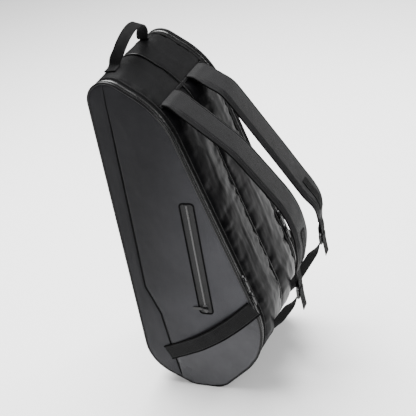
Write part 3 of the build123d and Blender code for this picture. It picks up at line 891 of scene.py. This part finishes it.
def grab_band(side, sign):
    """Webbing band with bound edges, raised in its middle."""
    count = 120
    t = np.linspace(-0.035, 1.035, count)
    centre = band_point(t)
    ahead = unit_rows(np.gradient(centre, axis=0))
    rise = BAND_RISE * np.sin(np.pi * np.clip(t, 0, 1)) ** 1.2
    # The ends lie on the panel, and the middle stands clear of it.
    base = face_height(centre[:, 0], centre[:, 1]) + 0.0009
    y = np.maximum(base, BAND_BASE_Y + rise)
    y += 0.0006 * field(t * 9, t * 0, 3)
    places = np.stack([centre[:, 0], sign * y, centre[:, 1]], axis=-1)
    tangent = unit_rows(np.gradient(places, axis=0))
    across = np.stack([-ahead[:, 1], np.zeros(count), ahead[:, 0]], axis=-1)
    up = np.cross(tangent, across)
    up *= np.sign((up[:, 1] * sign).mean())
    profile = webbing_profile(BAND_W, BAND_T, BAND_RIBS)
    obj = sweep(f"{side}_grab_band_cloth", places, across, up, profile, 0.08)
    finish_piece(obj, f"{side}_panel", "webbing", "band_webbing", [f"{side}_grab_band"])
    for label, shift in (("upper", BAND_W / 2), ("lower", -BAND_W / 2)):
        edge = places + across * shift
        bind = sweep(
            f"{side}_band_{label}_binding", edge, across, up, rounded_bar(*BAND_BINDING), 0.012
        )
        finish_piece(bind, f"{side}_panel", "webbing", "binding")
        row = places + across * (shift * 0.80) + up * 0.0012
        thread = stitches(f"{side}_band_{label}_stitch", row, up)
        finish_piece(thread, f"{side}_panel", "webbing", "thread")


# ---- accessory pocket ----------------------------------------------------
def rounded_rectangle(width, height, radius, spacing=0.0015):
    """A closed loop of x and z round a rectangle with rounded corners."""
    points = []
    for cx, cz, first in (
        (width / 2 - radius, height / 2 - radius, 0),
        (-width / 2 + radius, height / 2 - radius, 90),
        (-width / 2 + radius, -height / 2 + radius, 180),
        (width / 2 - radius, -height / 2 + radius, 270),
    ):
        for angle in np.linspace(first, first + 90, 9):
            a = math.radians(angle)
            points.append((cx + radius * math.cos(a), cz + radius * math.sin(a)))
    points.append(points[0])
    return resample(points, spacing=spacing)[:-1]


def pocket(side, sign):
    """Piped frame, storm flap and coil zip of the accessory pocket."""
    body = f"{side}_panel"
    middle_z = (POCKET_LOW + POCKET_HIGH) / 2
    height = POCKET_HIGH - POCKET_LOW
    loop = rounded_rectangle(POCKET_W, height, 0.007) + np.array((POCKET_X, middle_z))
    ahead = unit_rows(np.roll(loop, -1, axis=0) - np.roll(loop, 1, axis=0))
    lift = face_height(loop[:, 0], loop[:, 1])
    centre = np.stack([loop[:, 0], sign * (lift + 0.0006), loop[:, 1]], axis=-1)
    across = np.stack([ahead[:, 1], np.zeros(len(loop)), -ahead[:, 0]], axis=-1)
    out = repeated((0, sign, 0), len(loop))
    frame_piece = sweep(
        f"{side}_pocket_piping", centre, across, out, rounded_bar(*POCKET_PIPING), 0.01, closed=True
    )
    finish_piece(frame_piece, body, "piping", "binding", [f"{side}_pocket_frame"])
    edge, gap = POCKET_W / 2 - 0.001, 0.0024
    pocket_flap(f"{side}_pocket_flap", side, sign, (-edge, -gap), 0.93, [f"{side}_pocket_zip"])
    pocket_flap(f"{side}_pocket_tape", side, sign, (gap, edge), 0.07, ())
    pocket_coil(side, sign)
    pouch(side, sign, middle_z, height)


def pocket_flap(name, side, sign, span, crest, nodes):
    """A woven strip inside the frame beside the zip, folded where it meets the teeth."""
    rows, columns = 110, 14
    x = np.linspace(*span, columns)[None, :]
    z = np.linspace(POCKET_LOW + 0.002, POCKET_HIGH - 0.002, rows)[:, None]
    x, z = np.broadcast_arrays(x + POCKET_X, z)
    across = np.linspace(0, 1, columns)[None, :]
    fold = 0.0005 * np.exp(-(((across - crest) / 0.10) ** 2))
    ripple = 0.0002 * layered(x / 0.01, z / 0.03, 31, 2)
    base = face_height(x, z)
    outer = layer_of(x, sign * (base + 0.0004 + fold + ripple), z)
    inner = layer_of(x, sign * (base - 0.0004), z)
    obj = closed_sheet(name, outer, inner, np.stack([x, z], axis=-1))
    finish_piece(obj, f"{side}_panel", "zip_tape", "flap_fabric", nodes)


def pocket_coil(side, sign):
    """The row of teeth under the pocket's slider."""
    z = np.arange(POCKET_LOW + 0.003, POCKET_HIGH - 0.003, 0.0009)
    count = len(z)
    xs = np.full(count, POCKET_X)
    base = face_height(xs, z)
    swell = 1 + 0.35 * (np.arange(count) % 2)
    centre = np.stack([xs, sign * (base + 0.0009), z], axis=-1)
    profile = np.tile(rounded_bar(*POCKET_COIL), (count, 1, 1))
    profile[..., 1] *= swell[:, None]
    across, out = repeated((1, 0, 0), count), repeated((0, sign, 0), count)
    obj = sweep(f"{side}_pocket_teeth", centre, across, out, profile, 0.01)
    finish_piece(obj, f"{side}_panel", "zip_tape", "zip_teeth")


def pouch(side, sign, middle_z, height):
    """The empty pouch behind the panel: two plies with a bound edge."""
    v, u = spread((-1, 1), (-1, 1), 60, 30)
    x = POCKET_X + POUCH_SHIFT[0] + u * POUCH_W / 2
    z = middle_z + POUCH_SHIFT[1] + v * (height + POUCH_EXTRA) / 2
    edge = np.clip(1 - np.maximum(np.abs(u), np.abs(v)), 0, 1)
    puff = 0.0022 * smooth(edge / 0.25) * (0.8 + 0.2 * layered(x / 0.04, z / 0.06, 41, 2))
    outer = layer_of(x, sign * POUCH_Y, z)
    inner = layer_of(x, sign * (POUCH_Y - 0.0006 - puff), z)
    obj = closed_sheet(f"{side}_pocket_pouch_cloth", outer, inner, np.stack([x, z], axis=-1))
    finish_piece(obj, f"{side}_panel", "lining", nodes=[f"{side}_pocket_pouch"])


# ---- piping --------------------------------------------------------------
def cord(name, s_from, s_to, y, radius, inset, closed):
    """Covered cord along the outline, squashed where the bag rests on it."""
    count = int((s_to - s_from) / 0.003)
    s = np.linspace(s_from, s_to, count, endpoint=not closed)
    place, normal = OUTLINE.at(s, inset)
    centre = layer_of(place[:, 0], y, place[:, 1])
    across = repeated((0, 1, 0), count)
    out = layer_of(normal[:, 0], 0.0, normal[:, 1])
    angles = np.linspace(0, 2 * math.pi, 14, endpoint=False)
    circle = radius * np.stack([np.cos(angles), np.sin(angles)], axis=-1)
    lumps = 1 + 0.03 * field(s / 0.02, s * 0, 13)
    profile = circle[None] * lumps[:, None, None]
    profile[..., 1] = floor_limit(centre, out, profile[..., 1])
    return sweep(name, centre, across, out, profile, 2 * math.pi * radius, closed)


def pipings():
    """Piping round each side panel, and over the seam between the compartments."""
    for side, sign in SIDES:
        name, y = f"{side}_piping_cord", sign * PIPING_Y
        obj = cord(name, 0.0, OUTLINE.length, y, PIPING_R, 0.0010, True)
        finish_piece(obj, f"{side}_panel", "piping", nodes=[f"{side}_panel_piping"])
    obj = cord("centre_piping_cord", S_ANCHOR, S_LOW, 0.0, CENTRE_PIPING_R, 0.0, False)
    finish_piece(obj, "root", "piping", nodes=["centre_piping"])


# ---- main zip ------------------------------------------------------------
def along_outline(s_from, s_to, spacing, y, sign):
    """Centre line, y direction and outward direction along the outline."""
    s = np.arange(s_from, s_to, spacing)
    place, normal = OUTLINE.at(s)
    centre = layer_of(place[:, 0], sign * y, place[:, 1])
    across = repeated((0, sign, 0), len(s))
    out = layer_of(normal[:, 0], 0.0, normal[:, 1])
    return s, centre, across, out


def zip_band(side, sign):
    """Zip tapes, flanges and coils on the panel and on the gusset."""
    low = S_LOW_WRAPPED + 0.0006
    high = S_TOP - 0.0006
    s, centre, across, out = along_outline(low, high, 0.004, 0.0, sign)
    wave = 0.00025 * field(s / 0.016, s * 0, 51)
    for label, profile, body, node_name in (
        ("panel", PANEL_TAPE, f"{side}_panel", "panel_zip_half"),
        ("gusset", GUSSET_TAPE, "root", "gusset_zip_half"),
    ):
        shape = np.tile(profile, (len(s), 1, 1))
        shape[..., 1] += np.where(shape[..., 1] > -0.0005, wave[:, None], 0)
        shape[..., 1] = floor_limit(centre, out, shape[..., 1])
        obj = sweep(f"{side}_zip_{label}_tape", centre, across, out, shape, 0.04, sharp=35)
        finish_piece(obj, body, "zip_tape", nodes=[f"{side}_{node_name}"])
    coil(side, sign, "panel", PANEL_COIL_Y, f"{side}_panel", low, high)
    coil(side, sign, "gusset", GUSSET_COIL_Y, "root", low, high)
    for label, y, lift, body in (
        ("panel", 0.1384, 0.0007, f"{side}_panel"),
        ("gusset", 0.1186, 0.0011, "root"),
    ):
        s, centre, across, out = along_outline(low + 0.01, high - 0.01, 0.003, y, sign)
        rise = floor_limit(centre, out, np.full((len(s), 1), lift))
        obj = stitches(f"{side}_zip_{label}_stitch", centre + out * rise, out)
        finish_piece(obj, body, "zip_tape", "thread")


def zip_ends(side, sign):
    """Fabric tabs sewn over both ends of the main zip."""

    def tab_shape(s, y):
        return 0.0016 + 0.0003 * layered(s / 0.008, y / 0.008, 37, 2)

    y_from, y_to = sign * LINING_EDGE_Y, sign * 0.1385
    for label, s_from, s_to in (
        ("top", S_TOP - 0.013, S_TOP + 0.002),
        ("low", S_LOW_WRAPPED - 0.002, S_LOW_WRAPPED + 0.013),
    ):
        wall(
            f"{side}_zip_{label}_tab", s_from, s_to, y_from, y_to, tab_shape,
            "gusset_fabric", (), spacing=0.0015, depth=0.0,
        )


def floor_limit(centre, out, heights):
    """Keep heights over the outline from reaching under the flat base."""
    down = np.clip(-out[:, 2:3], 0, 1) * (centre[:, 2:3] < 0.012)
    limit = np.where(down > 0.3, centre[:, 2:3] / np.maximum(down, 0.3) - 0.0002, 1.0)
    return np.minimum(heights, np.maximum(limit, -0.0004))


def coil(side, sign, label, y, body, low, high):
    """One row of coil teeth: a rounded ridge with a bead for each tooth."""
    s, centre, across, out = along_outline(low, high, 0.0011, y, sign)
    bead = 1 + 0.28 * (np.arange(len(s)) % 2)
    profile = np.tile(rounded_bar(*MAIN_COIL, 4), (len(s), 1, 1))
    profile[..., 1] *= bead[:, None]
    profile[..., 1] -= 0.0006
    profile[..., 1] = floor_limit(centre, out, profile[..., 1])
    obj = sweep(f"{side}_zip_{label}_teeth", centre, across, out, profile, 0.006)
    finish_piece(obj, body, "zip_tape", "zip_teeth")


# ---- gusset walls --------------------------------------------------------
def wall(name, s_from, s_to, y_from, y_to, shape, slot, nodes, spacing=0.005, depth=-WALL_T):
    """A fabric wall that follows the outline between two y planes."""
    rows = max(6, int(abs(s_to - s_from) / spacing))
    columns = max(8, int(abs(y_to - y_from) / spacing))
    s, y = spread((s_from, s_to), (y_from, y_to), rows, columns)
    outer, inner = off_outline(s, y, shape(s, y)), off_outline(s, y, depth)
    for layer in (outer, inner):
        layer[..., 2] = np.maximum(layer[..., 2], 0.0)
    obj = closed_sheet(name, outer, inner, np.stack([s, y], axis=-1))
    return finish_piece(obj, "root", slot, nodes=nodes)


def seam_fall(gap, depth=0.0016, reach=0.005):
    """How far cloth is drawn in beside a seam."""
    return -depth * np.exp(-((gap / reach) ** 2))


def gusset_shape(s_from, s_to, y_from, y_to, seed, bulge, fold, gather=0.0016):
    """Bulge, folds and gathered puckers of one gusset wall."""

    def shape(s, y):
        across = (y - y_from) / (y_to - y_from)
        crown = bulge * np.sin(np.pi * np.clip(across, 0, 1)) ** 0.7
        crown *= smooth((s - s_from) / 0.03) * smooth((s_to - s) / 0.03)
        edge = np.minimum(np.abs(y - y_from), np.abs(y_to - y))
        end = np.minimum(np.abs(s - s_from), np.abs(s_to - s))
        pucker = gather * np.exp(-edge / 0.022) * layered(s / 0.012, y / 0.06, seed, 2)
        large = fold * creases(s / 0.13 + y / 0.30, y / 0.035 - s / 0.40, seed + 3)
        soft = 0.6 * fold * layered(s / 0.05, y / 0.06, seed + 7, 3)
        away = smooth(edge / 0.02) * smooth(end / 0.02)
        total = crown + pucker * smooth(end / 0.008) + (large + soft) * away
        return total + seam_fall(edge) + seam_fall(end)

    return shape


def gusset_walls():
    """Hinge-side, narrow-end and strap-side walls of both compartments, and the base."""
    spans = {
        "front_gusset": (S_TOP, S_LOW, HINGE_EDGE_Y, "gusset_fabric", (0.0015, 0.0006)),
        "narrow_end_gusset": (S_SEAM, S_TOP, GUSSET_EDGE_Y, "gusset_fabric", (0.0035, 0.0012)),
        "back_gusset": (S_ANCHOR, S_SEAM, GUSSET_EDGE_Y, "gloss_fabric", (0.0070, 0.0012, 0.0030)),
    }
    for side, sign in SIDES:
        for label, (s0, s1, edge_y, slot, amounts) in spans.items():
            seed = 60 + 10 * len(label) + (0 if sign < 0 else 5)
            y0, y1 = sign * CENTRE_GAP, sign * edge_y
            shape = gusset_shape(s0, s1, y0, y1, seed, *amounts)
            wall(f"{side}_{label}_cloth", s0, s1, y0, y1, shape, slot, [f"{side}_{label}"])
    s0, s1 = S_LOW_WRAPPED, S_ANCHOR
    y0, y1 = -GUSSET_EDGE_Y, GUSSET_EDGE_Y
    base_shape = gusset_shape(s0, s1, y0, y1, 97, 0.0015, 0.0006)

    def flat_on_floor(s, y):
        place, _ = OUTLINE.at(s)
        resting = smooth((0.014 - place[..., 1]) / 0.010)
        return base_shape(s, y) * (1 - resting)

    wall("base_gusset_cloth", s0, s1, y0, y1, flat_on_floor, "gusset_fabric", ["base_gusset"])


def shoulder_welt():
    """Rounded welt over the shoulder seam, on both sides of the centre piping."""
    (x, z), (nx, nz) = OUTLINE.at(S_SEAM)
    out, along, base = np.array(((nx, 0.0, nz), (-nz, 0.0, nx), (x, 0.0, z)))
    for side, sign in SIDES:
        y = np.linspace(sign * 0.0032, sign * (GUSSET_EDGE_Y - 0.001), 60)
        centre = base + np.stack([0 * y, y, 0 * y], axis=-1) + out * 0.0002
        across, up = repeated(along, len(y)), repeated(out, len(y))
        obj = sweep(
            f"{side}_shoulder_welt", centre, across, up, rounded_bar(*SHOULDER_WELT), 0.02
        )
        nodes = ["shoulder_binding"] if side == "near" else ()
        finish_piece(obj, "root", "gusset_fabric", nodes=nodes)
        row = centre + along * 0.0022 + out * 0.0016
        thread = stitches(f"{side}_shoulder_stitch", row, up)
        finish_piece(thread, "root", "gusset_fabric", "thread")


# ---- inside --------------------------------------------------------------
def linings():
    """Padded lining on the inside of both compartments' walls."""
    for side, sign in SIDES:
        rows, columns = 330, 22
        ends = sign * CENTRE_GAP, sign * LINING_EDGE_Y
        s, y = spread((0, OUTLINE.length), ends, rows, columns, endpoint=False)
        quilt = 0.0010 * np.abs(np.sin(np.pi * s / 0.045)) ** 0.5
        quilt += 0.0003 * layered(s / 0.03, y / 0.03, 71, 2)
        outer, inner = off_outline(s, y, -0.0033), off_outline(s, y, -0.0040 - quilt)
        count = rows * columns
        points = np.concatenate([outer.reshape(-1, 3), inner.reshape(-1, 3)])
        faces = grid_faces(rows, columns, wrap_rows=True)
        faces += grid_faces(rows, columns, count, wrap_rows=True)
        for i in range(rows):
            a, b = i * columns, ((i + 1) % rows) * columns
            faces.append((a, b, b + count, a + count))
            a, b = a + columns - 1, b + columns - 1
            faces.append((a, b, b + count, a + count))
        uv = np.stack([s, y], axis=-1).reshape(-1, 2)
        obj = build_mesh(f"{side}_lining_cloth", points, faces, np.concatenate([uv, uv]))
        finish_piece(obj, "root", "lining", nodes=[f"{side}_gusset_lining"])


def hinge_linings():
    """Lining over each side panel's hinge, sewn to the wall and to the panel."""
    for side, sign in SIDES:
        s, y = spread((S_TOP + 0.001, S_LOW - 0.001), (0.1130, 0.1420), 160, 22)
        quilt = 0.0007 * np.abs(np.sin(np.pi * s / 0.045)) ** 0.5
        quilt *= smooth((0.1385 - y) / 0.010)
        outer, inner = (off_outline(s, sign * y, -depth) for depth in (0.0026, 0.0037 + quilt))
        obj = closed_sheet(f"{side}_hinge_lining", outer, inner, np.stack([s, y], axis=-1))
        finish_piece(obj, None, "lining")
        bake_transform(obj)


def divider_pad():
    """Padded divider between the compartments, crowned on both faces."""
    grid = whole_patch(DIVIDER_INSET)
    x, z = grid[..., 0], grid[..., 1]
    inside, _ = OUTLINE.nearest(x, z)
    half = 0.0008 + 0.0016 * smooth((inside - DIVIDER_INSET) / 0.02)
    half += 0.0004 * layered(x / 0.06, z / 0.08, 81, 2) * smooth(inside / 0.03)
    obj = closed_sheet("divider_cloth", layer_of(x, half, z), layer_of(x, -half, z), grid)
    finish_piece(obj, "root", "lining", nodes=["divider"])


# ---- shoulder straps -----------------------------------------------------
def strap_width(remaining):
    """Half width of a padded strap at a distance from its lower end."""
    tip = WEBBING_W / 2 + 0.003
    return tip + (STRAP_W / 2 - tip) * smooth(remaining / 0.085) ** 0.8


def padded_profile(half, thick, count=40):
    """Closed cross-section of a padded strap: full middle and thin sewn margins."""
    x = np.linspace(-1, 1, count)
    margin = np.clip((1 - np.abs(x)) * half / 0.0095, 0, 1)
    top = 0.30 + 0.70 * smooth(margin)
    channel = 0.30 * np.exp(-(((1 - np.abs(x)) * half - 0.0100) / 0.0014) ** 2)
    crown = 0.10 * (1 - x**2)
    upper = thick / 2 * (top - channel + crown)
    lower = -thick / 2 * (0.25 + 0.62 * smooth(margin))
    return np.concatenate(
        [np.stack([x * half, upper], -1), np.stack([x[::-1] * half, lower[::-1]], -1)]
    )


def shoulder_strap(name, spec):
    """Padded strap from its sewn root to the webbing at its lower end."""
    path = rounded_path(spec["points"], spec["radii"], 0.0035)
    centre, side, up = xz_frames(path, spec["side"] * STRAP_Y)
    along = lengths_along(path)
    remaining = along[-1] - along
    half = strap_width(remaining)
    thick = STRAP_T * (0.30 + 0.70 * smooth(along / 0.050))
    thick *= 0.35 + 0.65 * smooth(remaining / 0.03)
    profile = np.array([padded_profile(h, t) for h, t in zip(half, thick)])
    rumple = 0.00045 * layered(along[:, None] / 0.022, profile[..., 0] / 0.03, 91, 3)
    profile[..., 1] += rumple * smooth(remaining / 0.02)[:, None]
    wander = 0.0016 * field(along / 0.12, along * 0, 17)
    centre = centre + up * (wander * smooth(along / 0.06))[:, None]
    obj = sweep(f"{name}_strap_cloth", centre, side, up, profile, 0.17)
    finish_piece(
        obj, None, "strap_fabric", nodes=[f"{name}_strap_root", f"{name}_strap_pad"]
    )
    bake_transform(obj)
    strap_bindings(name, centre, side, up, half)
    strap_patch(name, centre, side, up, thick, remaining)


def strap_bindings(name, centre, side, up, half):
    """Bound edges of the strap and the stitch rows inside them."""
    for label, sign in (("inner", 1), ("outer", -1)):
        edge = centre + side * (sign * (half - 0.0010))[:, None]
        across = np.cross(up, unit_rows(np.gradient(edge, axis=0)))
        profile = rounded_bar(*STRAP_BINDING)
        bind = sweep(f"{name}_strap_{label}_binding", edge, across, up, profile, 0.014)
        finish_piece(bind, None, "strap_fabric", "binding")
        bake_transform(bind)
        keep = slice(8, -6)
        row = (centre + side * (sign * (half - 0.0052))[:, None] + up * 0.0029)[keep]
        thread = stitches(f"{name}_strap_{label}_stitch", row, up[keep])
        finish_piece(thread, None, "strap_fabric", "thread")
        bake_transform(thread)


def strap_patch(name, centre, side, up, thick, remaining):
    """Webbing patch sewn over the strap near its lower end."""
    pick = np.nonzero((remaining > 0.028) & (remaining < 0.105))[0]
    lifted = centre[pick] + up[pick] * (thick[pick] / 2 * 1.08 + 0.0006)[:, None]
    profile = webbing_profile(PATCH_W, PATCH_T, PATCH_RIBS)
    patch_piece = sweep(f"{name}_strap_patch", lifted, side[pick], up[pick], profile, 0.05)
    finish_piece(patch_piece, None, "webbing")
    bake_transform(patch_piece)


def anchor_tip(lock):
    """Start of the lower webbing on the bag and the tip of its sewn tab."""
    (cx, cz), radius, _, _ = corner_arc(LOWER_RIGHT)
    reach = radius + 0.0018
    start = (cx + reach * math.cos(ANCHOR_ANGLE), cz + reach * math.sin(ANCHOR_ANGLE))
    ux, uz = unit(lock[0] - 0.004 - start[0], lock[1] - 0.015 - start[1])
    return start, (start[0] + ux * 0.050, start[1] + uz * 0.050)


def twisted(centre, side, up, rise, fall):
    """Turn a strip about its run between two lengths, so its face shows to the near side."""
    along = lengths_along(centre)
    amount = smooth((along - rise[0]) / (rise[1] - rise[0]))
    amount = amount * (1 - smooth((along - fall[0]) / (fall[1] - fall[0])))
    angle = (LOWER_TWIST * amount)[:, None]
    return side * np.cos(angle) + up * np.sin(angle), up * np.cos(angle) - side * np.sin(angle)


def lower_webbing(name, spec):
    """Adjuster webbing from its sewn anchor, through the ladder lock, to its tail."""
    x, z = spec["lock"]
    start, tip = anchor_tip(spec["lock"])
    back, front = x - 0.004, x + 0.004
    points = [start, tip, (back, z - 0.015), (back, z + 0.0066), (front, z + 0.0066)]
    points += [(front, z - 0.014), (front + 0.003, z - 0.046)]
    nudge = 0.0015
    points[1] = (tip[0] - nudge, tip[1] + nudge)
    path = rounded_path(points, [0.08, 0.012, 0.002, 0.002, 0.008], 0.0012)
    centre, side, up = xz_frames(path, spec["side"] * STRAP_Y)
    run = math.dist(start, (back, z - 0.015))
    side, up = twisted(centre, side, up, (0.012, 0.075), (run - 0.050, run - 0.004))
    obj = sweep(
        f"{name}_lower_webbing", centre, side, up, webbing_profile(WEBBING_W, WEBBING_T), 0.055
    )
    finish_piece(
        obj, None, "webbing", nodes=[f"{name}_adjuster_webbing", f"{name}_anchor_tab"]
    )
    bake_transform(obj)
    box_stitch(name, spec, start, tip)


def box_stitch(name, spec, start, tip):
    """Stitch rows where the webbing is sewn to the bag."""
    ux, uz = unit(tip[0] - start[0], tip[1] - start[1])
    out = np.array((uz, 0.0, -ux))
    y = spec["side"] * STRAP_Y
    for index, reach in enumerate((0.006, 0.012)):
        base = np.array((start[0] + ux * reach, y, start[1] + uz * reach)) + out * 0.0011
        row = repeated(base, 9)
        row[:, 1] += np.linspace(-0.010, 0.010, 9)
        thread = stitches(f"{name}_anchor_stitch_{index}", row, repeated(out, 9))
        finish_piece(thread, "root", "webbing", "thread")


def lock_loop(name, spec):
    """Webbing from the pad's end, folded round the ladder lock's top bar."""
    x, z = spec["lock"]
    end_x, end_z = spec["points"][-1]
    points = [(end_x, end_z + 0.012), (end_x, end_z - 0.006), (x - 0.0035, z + 0.026)]
    points += [(x - 0.0035, z + 0.0096), (x + 0.0035, z + 0.0096), (x + 0.0035, z + 0.028)]
    points += [(end_x + 0.0015, end_z - 0.004), (end_x + 0.0015, end_z + 0.004)]
    path = rounded_path(points, [0.02, 0.02, 0.0015, 0.0015, 0.012, 0.006], 0.0012)
    centre, side, up = xz_frames(path, spec["side"] * STRAP_Y)
    obj = sweep(
        f"{name}_lock_loop_webbing", centre, side, up, webbing_profile(WEBBING_W, LOOP_T), 0.055
    )
    finish_piece(obj, f"{name}_strap", "webbing", nodes=[f"{name}_lock_loop"])


# ---- carry handle --------------------------------------------------------
def handle():
    """Webbing loop with its ends sewn flat."""
    radius = (HANDLE_HALF_SPAN**2 + HANDLE_RISE**2) / (2 * HANDLE_RISE)
    middle_z = HANDLE_Z + HANDLE_RISE - radius
    first = math.asin((HANDLE_Z - middle_z) / radius)
    angles = np.linspace(math.pi - first, first, 60)
    arch = [(radius * math.cos(a), middle_z + radius * math.sin(a)) for a in angles]
    foot = HANDLE_FOOT_Z
    left = [(-0.095, foot), (-0.082, foot), (-0.0715, foot + 0.002), (-0.0685, 0.752)]
    points = left + arch + [(-y, z) for y, z in left[::-1]]
    path = resample(points, spacing=0.0025)
    for _ in range(3):
        path[1:-1] = (path[:-2] + 2 * path[1:-1] + path[2:]) / 4
    lean = HANDLE_LEAN * smooth((path[:, 1] - 0.748) / 0.03)
    rise = np.maximum(path[:, 1] - 0.750, 0)
    centre = np.stack(
        [HANDLE_X + rise * np.sin(lean), path[:, 0], path[:, 1] - rise * (1 - np.cos(lean))],
        axis=-1,
    )
    tangent = unit_rows(np.gradient(centre, axis=0))
    # The sewn ends lie on the sloping wall, and the loop leans with its swing.
    side = repeated((1, 0, 0), len(path))
    side[:, 2] = 0.304 * smooth((0.752 - path[:, 1]) / 0.01) - np.sin(lean) * 0.9
    side = unit_rows(side - tangent * (side * tangent).sum(1, keepdims=True))
    up = np.cross(tangent, side)
    up *= np.sign(up[len(up) // 2, 2])
    obj = sweep("handle_webbing", centre, side, up, webbing_profile(HANDLE_W, HANDLE_T), 0.056)
    finish_piece(obj, None, "webbing", nodes=["handle_loop", "handle_tabs"])
    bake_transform(obj)
    handle_stitching(centre, side, up)


def handle_stitching(centre, side, up):
    """Box stitches through the handle's sewn ends."""
    for label, pick in (("near", slice(1, 11)), ("far", slice(-11, -1))):
        for index, shift in enumerate((-0.009, 0.009)):
            row = centre[pick] + side[pick] * shift + up[pick] * 0.0015
            thread = stitches(f"handle_{label}_stitch_{index}", row, up[pick])
            finish_piece(thread, "root", "webbing", "thread")


# ---- carried-over CAD nodes ----------------------------------------------
def hardware():
    """Materials and eased edges for the moulded and metal CAD nodes."""
    kept = {}
    for side, _ in SIDES:
        kept[f"{side}_ladder_lock"] = ("buckle_plastic", 0.0009)
        for label in ("upper", "lower", "pocket"):
            kept[f"{side}_{label}_slider"] = ("slider_metal", 0.0004)
            kept[f"{side}_{label}_puller"] = ("puller", 0.0005)
    for name, (material, ease) in kept.items():
        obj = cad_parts[name]
        obj.data.materials.clear()
        obj.data.materials.append(MATERIALS[material])
        made = obj.modifiers.new("ease", "BEVEL")
        made.width = ease
        made.segments = 3
        made.limit_method = "ANGLE"
        made.angle_limit = math.radians(40)


# ---- stage ---------------------------------------------------------------
AIM = Vector((-0.0587, 0.1519, 0.2902))
CAMERA_AZIMUTH = math.radians(25.43)
CAMERA_ELEVATION = math.radians(29.52)
CAMERA_ROLL = math.radians(-10.55)
CAMERA_DISTANCE = 2.2
CAMERA_LENS = 79.4


def camera():
    """The studio camera."""
    back = Vector(
        (
            math.sin(CAMERA_AZIMUTH) * math.cos(CAMERA_ELEVATION),
            -math.cos(CAMERA_AZIMUTH) * math.cos(CAMERA_ELEVATION),
            math.sin(CAMERA_ELEVATION),
        )
    )
    level = Vector((math.cos(CAMERA_AZIMUTH), math.sin(CAMERA_AZIMUTH), 0))
    upright = back.cross(level)
    right = level * math.cos(CAMERA_ROLL) + upright * math.sin(CAMERA_ROLL)
    up = back.cross(right)
    data = bpy.data.cameras.new("camera")
    data.lens = CAMERA_LENS
    data.clip_end = 50
    obj = bpy.data.objects.new("camera", data)
    bpy.context.scene.collection.objects.link(obj)
    turn = Matrix((right, up, back)).transposed().to_4x4()
    obj.matrix_world = Matrix.Translation(AIM + back * CAMERA_DISTANCE) @ turn
    bpy.context.scene.camera = obj


def area_light(name, place, aim, size, power):
    """A soft rectangular light aimed at a place."""
    data = bpy.data.lights.new(name, "AREA")
    data.shape = "RECTANGLE"
    data.size, data.size_y = size
    data.energy = power
    obj = bpy.data.objects.new(name, data)
    bpy.context.scene.collection.objects.link(obj)
    obj.location = place
    obj.rotation_euler = (Vector(aim) - Vector(place)).to_track_quat("-Z", "Y").to_euler()


def stage():
    """Pale floor, soft studio lights and a pale surround."""
    bpy.ops.mesh.primitive_plane_add(size=40, location=(0, 0, -0.0002))
    floor = bpy.context.object
    floor.name = "floor"
    material, tree, principled = shader("floor_paint", (0.92, 0.92, 0.92), 0.9)
    grain = node(tree, "ShaderNodeTexNoise", Scale=3.0).outputs["Fac"]
    remap = node(tree, "ShaderNodeMapRange", Value=grain, To_Min=0.86, To_Max=0.94)
    tree.links.new(remap.outputs["Result"], principled.inputs["Roughness"])
    floor.data.materials.append(material)
    world = bpy.data.worlds.new("studio")
    bpy.context.scene.world = world
    world.use_nodes = True
    world.node_tree.nodes["Background"].inputs["Color"].default_value = (1, 1, 1, 1)
    world.node_tree.nodes["Background"].inputs["Strength"].default_value = 0.45
    centre = (0.05, 0.0, 0.4)
    area_light("overhead", (-0.6, 0.6, 3.0), centre, (2.4, 2.4), 380)
    area_light("key", (1.3, -2.6, 0.7), centre, (0.9, 0.9), 75)
    area_light("rim", (1.6, 2.0, 1.2), centre, (0.5, 1.6), 45)


# ---- build ---------------------------------------------------------------
make_materials()
camera()
for side_name, side_sign in SIDES:
    side_panel(side_name, side_sign)
    panel_back(side_name, side_sign)
    grab_band(side_name, side_sign)
    pocket(side_name, side_sign)
    zip_band(side_name, side_sign)
    zip_ends(side_name, side_sign)
gusset_walls()
pipings()
shoulder_welt()
linings()
hinge_linings()
divider_pad()
for strap_name, strap_spec in STRAPS.items():
    shoulder_strap(strap_name, strap_spec)
    lower_webbing(strap_name, strap_spec)
    lock_loop(strap_name, strap_spec)
handle()
hardware()
stage()
